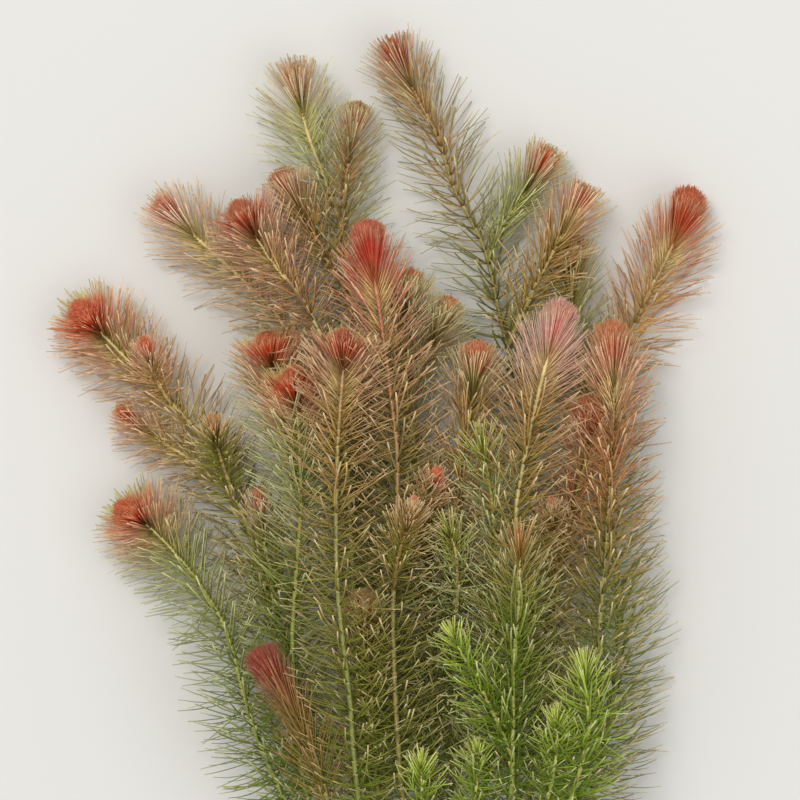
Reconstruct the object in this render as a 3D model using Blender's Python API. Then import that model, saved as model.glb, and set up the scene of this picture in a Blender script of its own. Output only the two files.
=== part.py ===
"""Whorly rotala: a clump of bottle-brush water-plant shoots, lying on a flat surface.

The plant is laid on its back. Its shoots point along +Y, its width runs along X and
its depth along Z, so the side that faces the viewer while it grows faces up. Short
creeping stems at the foot carry the main stems, and side shoots fork off those.
Each shoot is one closed solid: a thin bare stem that opens into a leafy brush with
staggered tiers of leaf tips and ends in a dome of young leaves.
"""

import itertools
import math

import bmesh
import bpy
import numpy as np
from mathutils import Vector
from mathutils.bvhtree import BVHTree

MM = 0.001

# Driving dimensions, in millimetres
BRUSH_RADIUS = 11.5
HEAD_RADIUS = 8.0
HEAD_LENGTH = 11.0
YOUNG_LENGTH = 34.0
BARE_STEM_RADIUS = 1.0
CREEPING_STEM_RADIUS = 1.4
LEAF_START_Y = -17.0
LEAF_RAMP = 14.0
FORK_RAMP = 9.0
LEAF_GAP = 0.35
STEM_CLEARANCE = 3.0
FORK_CLEARANCE = 5.0
TIER_STEP = 7.6
ROUTE_STEP = 1.0
NEIGHBOUR_RANGE = 30.0
NEIGHBOUR_STEP = 3.0

# Shapes of the brush, as shares of the sizes above
STEM_THINNING = 0.35
HEAD_SIZE_KEPT = 0.35
DOME_RINGS = (0.55, 0.2)
INNER_TIP = 0.66
TIP_SWEEP = 0.38
PRESSED_SPREAD = 1.45

# Counts, and how finely the curves and the gaps between brushes are worked out
TIER_POINTS = 8
CURVE_STEPS = 12
LEAST_FACING = 0.02
PARTING_ROUNDS = 80
PARTING_STEP = 0.93

# Where the plant's own drawing origin lands, so that the box stands on the world origin
PLACE = (0.7, -77.1, 0.0)

# Colours of the shoots as they read from a step away
RED_TIPPED = ("red_tipped", (0.42, 0.22, 0.09))
PINK_TIPPED = ("pink_tipped", (0.50, 0.26, 0.18))
CREAM_TIPPED = ("cream_tipped", (0.42, 0.33, 0.14))
OLIVE = ("olive", (0.26, 0.21, 0.07))
FRESH_GREEN = ("fresh_green", (0.20, 0.30, 0.06))
STEM_GREEN = ("stem_green", (0.24, 0.32, 0.08))

# The creeping stems at the foot: name, what it forks from, route from its start to its end
CREEPING_STEMS = [
    ("creeping_stem", None,
     [(-20, -25, 7), (-8, -27, 10.5), (8, -27.5, 11.5), (26, -27, 11), (42, -25, 8)]),
    ("rising_runner", "creeping_stem",
     [(3, -27.5, 11.5), (0, -31, 22), (5, -29, 35), (20, -27.5, 42), (39, -25, 40)]),
    ("left_runner", "rising_runner",
     [(3.5, -29.7, 32), (-5, -28, 38), (-17, -25, 35)]),
]

# The shoots: name, what it grows from, tone, brush width as a share of the full one,
# and its route from where it forks to the front of its head
SHOOTS = [
    ("rear_left_tall_shoot", "creeping_stem", RED_TIPPED, 1.0,
     [(7, -27.5, 11.5), (8.5, -4, 9), (5, 34, 9), (-3, 75, 9), (-9, 115, 9), (-11.5, 135, 9),
      (-16, 149, 8.5), (-21, 163, 8.5), (-24, 181.5, 8.5)]),
    ("rear_left_side_shoot", "rear_left_tall_shoot", RED_TIPPED, 0.75,
     [(-11, 131, 9), (-11.2, 144, 12), (-10, 153, 13), (-8.5, 162, 11), (-6.5, 169.5, 9.5)]),
    ("rear_left_small_shoot", "rear_left_tall_shoot", RED_TIPPED, 0.8,
     [(-8.7, 113, 9), (-12.5, 124, 13), (-18, 134, 15), (-23, 142.5, 13), (-28.5, 152, 9.5)]),
    ("rear_middle_tall_shoot", "creeping_stem", RED_TIPPED, 1.0,
     [(30, -26.6, 10.5), (36.5, -4, 9), (37, 40, 9), (35, 84, 9), (28.5, 113, 9), (24, 132, 9),
      (16.5, 147, 9), (12.5, 159.5, 9), (6, 172, 8.5), (-1, 186.5, 8.5)]),
    ("rear_middle_side_shoot", "rear_middle_tall_shoot", CREAM_TIPPED, 0.85,
     [(25.2, 127.5, 9), (28, 136, 10), (31, 140.5, 10), (35, 146, 9.5), (42.5, 158.5, 9)]),
    ("rear_right_side_shoot", "rear_middle_tall_shoot", CREAM_TIPPED, 0.85,
     [(30.5, 107, 9), (34, 116, 15), (38.5, 125, 17), (43, 133.5, 17), (47, 141, 14),
      (50.5, 148.5, 11)]),
    ("right_outer_shoot", "creeping_stem", RED_TIPPED, 1.0,
     [(40, -25.3, 8.4), (52, -4, 9), (58, 28, 9), (57.5, 48, 9), (54.5, 70, 9), (53, 88, 9),
      (56, 102, 9), (62, 112, 9), (66.5, 121.5, 8.5), (72, 133, 8.5), (77, 147.5, 8.5)]),
    ("right_hidden_shoot", "right_outer_shoot", OLIVE, 0.85,
     [(53.1, 86, 9), (50, 97, 8.5), (47.3, 106, 8.5), (46.2, 116, 8.5), (46, 128, 8),
      (46.5, 137, 8)]),
    ("left_upper_shoot", "creeping_stem", RED_TIPPED, 1.0,
     [(-1, -27.3, 11), (-3, 0, 9), (-5, 34, 9), (-9, 64, 9), (-15, 89, 9), (-22.5, 106, 9),
      (-31, 118, 8.5), (-47, 133, 8.5), (-60.5, 146, 8.5)]),
    ("left_broad_shoot", "creeping_stem", RED_TIPPED, 1.0,
     [(-5, -27.2, 10.8), (-6.5, 0, 20), (-8, 30, 22), (-9, 53, 23), (-10.8, 81, 24),
      (-14, 101, 24), (-20.5, 117, 22), (-29.5, 128.5, 19), (-39.8, 145.3, 14)]),
    ("centre_red_shoot", "rising_runner", RED_TIPPED, 1.0,
     [(7.5, -28.6, 37), (3.5, -4, 40), (1.3, 35.8, 40), (2, 60, 40), (2.3, 80, 39), (1, 92, 38),
      (-2, 115, 34), (-3.5, 124, 32), (-5.5, 138.3, 28)]),
    ("centre_small_side_shoot", "centre_red_shoot", RED_TIPPED, 0.5,
     [(1.5, 46, 40), (2.5, 54, 46), (5, 62.5, 51), (7, 70.5, 53)]),
    ("centre_orange_shoot", "creeping_stem", RED_TIPPED, 0.9,
     [(12, -27.5, 11.5), (11.5, -4, 20), (10.5, 43, 23), (9.3, 68, 24), (5, 91, 24),
      (3.5, 104, 24), (5, 118, 22), (6, 127.8, 20)]),
    ("centre_dark_side_shoot", "centre_orange_shoot", OLIVE, 0.85,
     [(4.6, 93, 24), (9, 103.5, 24), (13, 112, 22), (15.5, 120.8, 20)]),
    ("centre_red_bud", "centre_orange_shoot", RED_TIPPED, 0.5,
     [(10, 50, 23.3), (9.3, 58, 28), (10, 67, 34), (13, 77.8, 40)]),
    ("pink_headed_shoot", "rising_runner", PINK_TIPPED, 1.0,
     [(28, -26.6, 41.6), (32, -4, 42), (32.3, 29.5, 42), (31.8, 65, 40), (34.3, 80.5, 38),
      (38.5, 99, 34), (41.5, 110, 32), (42.5, 118.8, 30)]),
    ("right_red_shoot", "rising_runner", RED_TIPPED, 1.0,
     [(37.5, -25.3, 40.3), (48, -4, 42), (51.8, 29.5, 42), (54, 55, 40), (55.5, 77, 37),
      (56.3, 91, 34), (56, 105, 31), (55, 113.3, 29)]),
    ("right_red_side_shoot", "creeping_stem", RED_TIPPED, 0.8,
     [(35, -26, 9.6), (41.5, -4, 20), (41.3, 21, 24), (42, 43, 25), (45.5, 64.5, 26),
      (49, 77, 27), (50, 86, 28), (48.8, 95.8, 28)]),
    ("right_orange_bud", "right_red_side_shoot", RED_TIPPED, 0.5,
     [(42.3, 48, 25.1), (41.5, 58, 30), (41, 64.5, 33), (40.5, 70.5, 34)]),
    ("left_reaching_shoot", "creeping_stem", CREAM_TIPPED, 1.05,
     [(-14, -26, 9), (-22, -2, 9), (-26, 22, 9), (-30, 40, 9), (-35, 60, 9), (-41, 73.5, 9),
      (-47.3, 84.3, 9), (-58, 95.8, 9), (-67.3, 105, 8.5), (-76.8, 115, 8.5), (-81, 120.8, 8.5)]),
    ("left_reaching_bud", "left_reaching_shoot", RED_TIPPED, 0.5,
     [(-54.5, 92, 9), (-58, 98, 15), (-60, 104, 17), (-62, 110, 17)]),
    ("left_reaching_side_shoot", "left_reaching_shoot", RED_TIPPED, 0.7,
     [(-40, 71.5, 9), (-47.6, 76.3, 8.5), (-51, 79, 8.5), (-56.8, 82.5, 8.5), (-62.3, 86, 8.5),
      (-68.5, 92.5, 8.5)]),
    ("left_tan_bud", "left_reaching_shoot", OLIVE, 0.55,
     [(-38.5, 68, 9), (-41.5, 77, 16), (-43.3, 84, 20), (-43.5, 91, 20)]),
    ("left_inner_bud", "left_reaching_shoot", RED_TIPPED, 0.65,
     [(-28.5, 33, 9), (-29, 45, 15), (-31, 58, 20), (-32.5, 72.5, 22)]),
    ("left_low_shoot", "left_runner", CREAM_TIPPED, 1.0,
     [(-16, -25.3, 35.4), (-26, -6, 28), (-34.5, 13.5, 23), (-41, 36, 17), (-49.8, 50, 12),
      (-60, 61, 9), (-71.5, 68.5, 8.5)]),
    ("front_left_low_shoot", "left_runner", RED_TIPPED, 0.85,
     [(-12, -26.2, 37), (-15, -6, 42), (-20.5, 10.3, 43), (-26.5, 21.5, 42), (-33, 32, 40)]),
    ("left_middle_shoot", "left_runner", CREAM_TIPPED, 0.95,
     [(-8, -27, 38), (-20, -6, 30), (-23.8, 28, 28), (-23, 48.5, 29), (-21.8, 66, 30),
      (-22.5, 88, 29), (-24.3, 104.5, 26)]),
    ("left_middle_side_shoot", "left_middle_shoot", CREAM_TIPPED, 0.9,
     [(-21.8, 64, 30), (-25, 84, 27), (-28.5, 100, 22), (-31.5, 112.8, 18)]),
    ("centre_front_shoot", "left_runner", CREAM_TIPPED, 1.0,
     [(-2.5, -28.6, 37), (-7.5, -4, 44), (-9.5, 20, 46), (-12.5, 48, 46), (-12.5, 80, 43),
      (-11, 104, 39), (-11.3, 113.8, 37)]),
    ("front_brown_side_shoot", "rising_runner", OLIVE, 0.75,
     [(4, -29.4, 33.5), (-2.5, -4, 34), (-4, 18, 34), (-5.5, 34, 34), (-6.5, 47.8, 34)]),
    ("middle_orange_shoot", "creeping_stem", RED_TIPPED, 0.9,
     [(17, -27.4, 11.3), (17, -4, 24), (16.8, 33, 28), (17, 49, 30), (17.8, 72, 30),
      (20.5, 90, 28), (21.8, 100, 26), (21.5, 109.5, 24)]),
    ("middle_cream_side_shoot", "middle_orange_shoot", CREAM_TIPPED, 0.6,
     [(16.9, 36, 28.4), (17.3, 47, 36), (16.5, 57, 43), (12.3, 66.3, 46)]),
    ("middle_cream_shoot", "rising_runner", CREAM_TIPPED, 0.8,
     [(20, -27.5, 42), (24, -4, 38), (26, 23, 36), (26.5, 48, 36), (25.8, 68, 37),
      (23.5, 81, 39), (22, 89.5, 39)]),
    ("front_green_shoot", "rising_runner", FRESH_GREEN, 0.95,
     [(24, -27.1, 42), (30, -8, 51), (31, 28, 55), (32.3, 45, 54), (32.5, 65, 53)]),
    ("front_small_green_bud", "front_green_shoot", FRESH_GREEN, 0.55,
     [(30.8, 5, 53), (26, 16, 55), (21, 26, 56), (17, 33, 55), (14.5, 38.8, 54)]),
    ("front_right_green_shoot", "rising_runner", FRESH_GREEN, 0.85,
     [(34.3, -25.7, 41), (44, -8, 52), (49.5, 11.5, 56), (49, 20, 56), (48.3, 32, 55)]),
    ("front_low_green_bud", "rising_runner", FRESH_GREEN, 0.6,
     [(31, -26.2, 41.4), (38, -10, 51), (41.3, 4, 55), (41.5, 18.5, 56)]),
    ("low_left_green_bud", "rising_runner", FRESH_GREEN, 0.55,
     [(11, -28.3, 38.7), (9.5, -14, 46), (8.5, -4, 50), (8, 7, 51)]),
    ("low_middle_green_bud", "rising_runner", FRESH_GREEN, 0.55,
     [(16, -27.8, 40.8), (20, -12, 47), (22, -1, 50), (22, 10, 51)]),
]


def smooth_route(points, step):
    """Points every step millimetres along a smooth curve through the route's own points."""
    knots = [Vector(p) for p in points]
    first = knots[0] * 2 - knots[1]
    last = knots[-1] * 2 - knots[-2]
    knots = [first] + knots + [last]
    curve = [knots[1]]
    for before, start, end, after in zip(knots, knots[1:], knots[2:], knots[3:]):
        gap = (end - start).length
        enter = (end - before) * (gap / ((start - before).length + gap))
        leave = (after - start) * (gap / ((after - end).length + gap))
        for i in range(1, CURVE_STEPS + 1):
            t = i / CURVE_STEPS
            curve.append(
                start * (2 * t**3 - 3 * t**2 + 1)
                + enter * (t**3 - 2 * t**2 + t)
                + end * (3 * t**2 - 2 * t**3)
                + leave * (t**3 - t**2)
            )
    curve = np.array(curve)
    lengths = np.r_[0, np.cumsum(np.linalg.norm(np.diff(curve, axis=0), axis=1))]
    count = max(2, round(lengths[-1] / step))
    stations = np.linspace(0, lengths[-1], count + 1)
    return np.column_stack([np.interp(stations, lengths, curve[:, k]) for k in range(3)])


def nearest_distance(point, line):
    """Distance from a point to the nearest sample of a line."""
    return float(np.linalg.norm(line - point, axis=1).min())


class LeafTip:
    """One corner of a brush: the way it points out from the stem and how far it stands."""

    def __init__(self, root, out, sweep, wish, stem):
        self.root = root
        self.out = out
        self.sweep = sweep
        self.wish = max(wish, stem)
        self.stem = stem
        self.radius = self.wish

    def place(self, grow=0.0):
        """The corner's place. The further a leaf reaches, the further it sweeps forward."""
        return self.root + self.out * (self.radius + grow) + self.sweep * (self.radius - self.stem)

    def hold_to(self, limit):
        """Keeps the tip within a limit, but never inside the stem."""
        self.radius = min(self.radius, max(limit, self.stem))

    @property
    def spare(self):
        """The share of its wished reach that the tip could still give up."""
        return (self.radius - self.stem) / self.wish


class Stalk:
    """One stem or shoot: its route, its rings of leaf tips and the reach it would like."""

    def __init__(self, name, parent, tone, share, route):
        self.name = name
        self.parent = parent
        self.tone = tone
        self.share = share
        self.is_shoot = share > 0
        self.is_side_shoot = False
        self.line = smooth_route(route, ROUTE_STEP)
        self.steps = np.r_[0, np.cumsum(np.linalg.norm(np.diff(self.line, axis=0), axis=1))]
        self.start = 0.0

    @property
    def length(self):
        return self.steps[-1]

    def at(self, s):
        """The point at a distance s along the route."""
        return np.array([np.interp(s, self.steps, self.line[:, k]) for k in range(3)])

    def heading(self, s):
        """The unit direction of growth at a distance s along the route."""
        ahead = self.at(min(s + 1.5 * ROUTE_STEP, self.length))
        behind = self.at(max(s - 1.5 * ROUTE_STEP, 0))
        return (ahead - behind) / np.linalg.norm(ahead - behind)

    def clear_of_parent(self, parent):
        """Starts the solid where the stem has left the one it grows from."""
        self.is_side_shoot = parent.is_shoot
        room = FORK_CLEARANCE if parent.is_shoot else STEM_CLEARANCE
        while nearest_distance(self.at(self.start), parent.line) < room:
            self.start += ROUTE_STEP / 2

    def stem_radius(self, s):
        """The bare stem, which thins towards the tip."""
        if not self.is_shoot:
            return CREEPING_STEM_RADIUS
        return BARE_STEM_RADIUS * (1 - STEM_THINNING * s / self.length)

    def reach(self, s):
        """How far the leaf tips stand from the stem at a distance s along the route."""
        stem = self.stem_radius(s)
        if not self.is_shoot:
            return stem
        to_front = self.length - s
        full = BRUSH_RADIUS * self.share
        head = HEAD_RADIUS * (HEAD_SIZE_KEPT + (1 - HEAD_SIZE_KEPT) * self.share)
        young = min(1.0, max(0.0, (to_front - HEAD_LENGTH) / YOUNG_LENGTH))
        width = head + max(0.0, full - head) * young
        if to_front < HEAD_LENGTH:
            width = head * math.sqrt(max(0.0, 1 - (1 - to_front / HEAD_LENGTH) ** 2))
        if self.is_side_shoot:
            opened = (s - self.start) / FORK_RAMP
        else:
            opened = (self.at(s)[1] - LEAF_START_Y) / LEAF_RAMP
        opened = min(1.0, max(0.0, opened))
        return max(stem, stem + (width - stem) * opened)

    def place_rings(self):
        """Sets out the rings of leaf tips, closer together over the head."""
        body_end = self.length - HEAD_LENGTH
        if not self.is_shoot:
            body_end = self.length
        count = max(1, round((body_end - self.start) / TIER_STEP))
        stations = list(np.linspace(self.start, body_end, count + 1))
        if self.is_shoot:
            stations += [self.length - HEAD_LENGTH * share for share in DOME_RINGS]
        self.rings = []
        for i, s in enumerate(stations):
            along = self.heading(s)
            upright = np.array((0.0, 0.0, 1.0)) if self.is_shoot else np.array((0.0, 1.0, 0.0))
            side = np.cross(along, upright)
            side /= np.linalg.norm(side)
            under = np.cross(along, side)
            tips = []
            for j in range(TIER_POINTS):
                turn = 2 * math.pi * (j + 0.5 * (i % 2)) / TIER_POINTS
                share = 1.0 if j % 2 else INNER_TIP
                out = side * math.cos(turn) + under * math.sin(turn)
                sweep = along * (TIP_SWEEP if j % 2 and s < body_end else 0.0)
                wish = self.reach(s) * share
                tips.append(LeafTip(self.at(s), out, sweep, wish, self.stem_radius(s)))
            self.rings.append((s, self.at(s), tips))

    def corners(self, grow=0.0):
        """The solid's corner points, ring by ring, then its front point."""
        points = [tip.place(grow) for _, _, tips in self.rings for tip in tips]
        if self.is_shoot:
            points.append(self.at(self.length) + self.heading(self.length) * grow)
        return points

    def faces(self):
        """The triangles and end caps over the corner points."""
        n = TIER_POINTS
        faces = [tuple(reversed(range(n)))]
        for i in range(len(self.rings) - 1):
            low = i * n
            high = low + n
            for j in range(n):
                k = (j + 1) % n
                if i % 2:
                    faces.append((low + j, low + k, high + k))
                    faces.append((low + j, high + k, high + j))
                else:
                    faces.append((low + j, low + k, high + j))
                    faces.append((low + k, high + k, high + j))
        last = (len(self.rings) - 1) * n
        if self.is_shoot:
            front = last + n
            faces += [(last + j, last + (j + 1) % n, front) for j in range(n)]
        else:
            faces.append(tuple(range(last, last + n)))
        return faces


def share_the_room(stalks):
    """Holds each leaf tip short of the middle between its own stem and a neighbour's."""
    owners = []
    places = []
    reaches = []
    stems = []
    for index, stalk in enumerate(stalks):
        for s in np.arange(stalk.start, stalk.length, NEIGHBOUR_STEP):
            owners.append(index)
            places.append(stalk.at(s))
            reaches.append(stalk.reach(s))
            stems.append(stalk.stem_radius(s))
    owners = np.array(owners)
    places = np.array(places)
    reaches = np.array(reaches)
    stems = np.array(stems)
    for index, stalk in enumerate(stalks):
        for s, centre, tips in stalk.rings:
            away = places - centre
            far = np.linalg.norm(away, axis=1)
            near = (owners != index) & (far < NEIGHBOUR_RANGE)
            towards = away[near] / far[near][:, None]
            own = stalk.reach(s)
            split = far[near] * own / (own + reaches[near])
            split = np.minimum(split, far[near] - stems[near]) - LEAF_GAP / 2
            for tip in tips:
                facing = towards @ tip.out
                ahead = facing > LEAST_FACING
                if ahead.any():
                    tip.hold_to(float((split[ahead] / facing[ahead]).min()))


def rest_on_the_surface(stalks):
    """Spreads the leaf tips that meet the surface flat on it, and lets none pass below it."""
    for stalk in stalks:
        for _, _, tips in stalk.rings:
            for tip in tips:
                slope = tip.out[2] + tip.sweep[2]
                if slope >= 0:
                    continue
                touching = (tip.root[2] - tip.sweep[2] * tip.stem) / -slope
                if tip.wish > tip.stem and touching < tip.wish * PRESSED_SPREAD:
                    tip.radius = touching
                    tip.wish = touching


def crossing_tips(stalks, triangles):
    """The leaf tips that cross or swallow a neighbour and have the more to spare of the two."""
    corners = [np.array(stalk.corners(LEAF_GAP / 2)) for stalk in stalks]
    boxes = [(c.min(axis=0), c.max(axis=0)) for c in corners]
    trees = [BVHTree.FromPolygons([Vector(p) for p in c], t) for c, t in zip(corners, triangles)]
    tips = [[t for _, _, ring in stalk.rings for t in ring] for stalk in stalks]
    found = []
    for a, b in itertools.permutations(range(len(stalks)), 2):
        if (boxes[a][0] > boxes[b][1]).any() or (boxes[b][0] > boxes[a][1]).any():
            continue
        for ta, tb in trees[a].overlap(trees[b]):
            mine = [tips[a][c] for c in triangles[a][ta] if c < len(tips[a])]
            theirs = [tips[b][c] for c in triangles[b][tb] if c < len(tips[b])]
            if max(t.spare for t in mine) >= max(t.spare for t in theirs):
                found += mine
        for _, centre, _ in stalks[b].rings:
            place, normal, triangle, _ = trees[a].find_nearest(Vector(centre))
            if (Vector(centre) - place).dot(normal) < 0:
                found += [tips[a][c] for c in triangles[a][triangle] if c < len(tips[a])]
    return found


def part_the_brushes(stalks):
    """Shortens the leaf tips that still cross into a neighbouring brush."""
    triangles = [triangulated(stalk.faces()) for stalk in stalks]
    for _ in range(PARTING_ROUNDS):
        found = crossing_tips(stalks, triangles)
        if not found:
            return
        for tip in {id(t): t for t in found}.values():
            tip.hold_to(tip.radius * PARTING_STEP)


def triangulated(faces):
    """Fans each face into triangles."""
    return [(f[0], f[k], f[k + 1]) for f in faces for k in range(1, len(f) - 1)]


def material_for(tone):
    """The tone's Principled material, made once."""
    name, colour = tone
    material = bpy.data.materials.get(name)
    if material is None:
        material = bpy.data.materials.new(name)
        material.use_nodes = True
        shader = material.node_tree.nodes["Principled BSDF"]
        shader.inputs["Base Color"].default_value = (*colour, 1.0)
        shader.inputs["Roughness"].default_value = 0.55
        shader.inputs["Metallic"].default_value = 0.0
    return material


def build_object(stalk):
    """Makes the stalk's object from its corner points."""
    place = np.array(PLACE)
    mesh = bpy.data.meshes.new(stalk.name)
    points = [tuple((p + place) * MM) for p in stalk.corners()]
    mesh.from_pydata(points, [], triangulated(stalk.faces()))
    bm = bmesh.new()
    bm.from_mesh(mesh)
    bmesh.ops.recalc_face_normals(bm, faces=bm.faces)
    bm.to_mesh(mesh)
    bm.free()
    mesh.materials.append(material_for(stalk.tone))
    if not stalk.is_shoot:
        mesh.shade_smooth()
    thing = bpy.data.objects.new(stalk.name, mesh)
    bpy.context.scene.collection.objects.link(thing)
    return thing


def grow_plant():
    """Lays out every stem and shoot, shares the room between them and builds them."""
    stalks = [Stalk(name, parent, STEM_GREEN, 0, route) for name, parent, route in CREEPING_STEMS]
    stalks += [Stalk(*row) for row in SHOOTS]
    by_name = {stalk.name: stalk for stalk in stalks}
    for stalk in stalks:
        if stalk.parent:
            stalk.clear_of_parent(by_name[stalk.parent])
        stalk.place_rings()
    rest_on_the_surface(stalks)
    share_the_room(stalks)
    part_the_brushes(stalks)
    for stalk in stalks:
        build_object(stalk)


for old in list(bpy.data.objects):
    bpy.data.objects.remove(old, do_unlink=True)
grow_plant()
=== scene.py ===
"""Whorly rotala, dressed: a clump of bottle-brush shoots that lies on a pale floor.

Every stem is a tube with a knuckle at each leaf whorl, and every leaf is its own narrow
needle, closer and shorter towards the dome of young leaves at a shoot's tip. The routes of
the stems are those of the solids, in millimetres in the plant's own drawing: X to the right,
Y from the foot to the tips, Z up from the floor, with PLACE moving them into the frame.
"""

import logging
import math
from dataclasses import dataclass, field, fields, replace
from enum import Enum

import bpy
import numpy as np
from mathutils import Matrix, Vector


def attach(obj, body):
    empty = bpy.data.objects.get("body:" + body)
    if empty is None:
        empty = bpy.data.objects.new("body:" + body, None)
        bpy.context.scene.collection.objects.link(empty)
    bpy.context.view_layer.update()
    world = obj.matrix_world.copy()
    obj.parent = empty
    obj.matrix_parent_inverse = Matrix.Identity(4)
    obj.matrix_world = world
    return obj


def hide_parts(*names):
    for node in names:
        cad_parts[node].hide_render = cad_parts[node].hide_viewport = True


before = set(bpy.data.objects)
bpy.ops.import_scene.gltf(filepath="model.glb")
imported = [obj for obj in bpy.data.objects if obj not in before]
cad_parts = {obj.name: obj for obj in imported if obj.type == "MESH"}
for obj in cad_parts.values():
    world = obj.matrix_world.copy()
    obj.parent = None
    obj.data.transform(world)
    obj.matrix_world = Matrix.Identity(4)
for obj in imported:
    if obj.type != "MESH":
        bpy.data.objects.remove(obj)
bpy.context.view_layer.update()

LOG = logging.getLogger("whorly_rotala")

MM = 0.001
PLACE = np.array((0.7, -77.1, 0.0))
UPRIGHT = np.array((0.0, 0.0, 1.0))
FIRST_SEED = 100

# How far behind a stem's tip its age reaches 1, in millimetres
AGE_SCALE = 150.0

# What the finishes read at each point of a mesh
READINGS = ("age", "along", "chance", "pale", "low")

Colour = tuple[float, float, float]
ScreenColour = str
Point = tuple[float, float, float]
Pair = tuple[float, float]
Socket = bpy.types.NodeSocket


def from_screen(code: ScreenColour) -> Colour:
    """Turns a colour as a screen shows it into the linear one that a shader takes.

    Args:
        code: The colour's six hexadecimal digits.

    Returns:
        The linear colour, each part 0 to 1.
    """
    shares = [value / 255 for value in bytes.fromhex(code)]
    red, green, blue = (s / 12.92 if s <= 0.04045 else ((s + 0.055) / 1.055) ** 2.4 for s in shares)
    return red, green, blue


def eased(value: np.ndarray | float) -> np.ndarray | float:
    """Eases a share between 0 and 1, flat at both ends."""
    share = np.clip(value, 0.0, 1.0)
    return share * share * (3 - 2 * share)


def at_least(least: float, share: np.ndarray | float) -> np.ndarray | float:
    """A factor that grows from its least to 1 as a share grows from 0 to 1."""
    return least + (1 - least) * share


def unit(rows: np.ndarray) -> np.ndarray:
    """Scales each row to length 1."""
    return rows / np.linalg.norm(rows, axis=-1, keepdims=True)


def age_of(behind: np.ndarray) -> np.ndarray:
    """How old the plant is at distances behind a stem's tip, 0 to 1, with most room for the young part."""
    return np.sqrt(np.clip(behind / AGE_SCALE, 0, 1))


class Slot(Enum):
    """The record's material slots."""

    CREEPING = "creeping_stem"
    RED = "red_tipped_shoot"
    PINK = "pink_tipped_shoot"
    CREAM = "cream_tipped_shoot"
    OLIVE = "olive_shoot"
    GREEN = "fresh_green_shoot"


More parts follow.
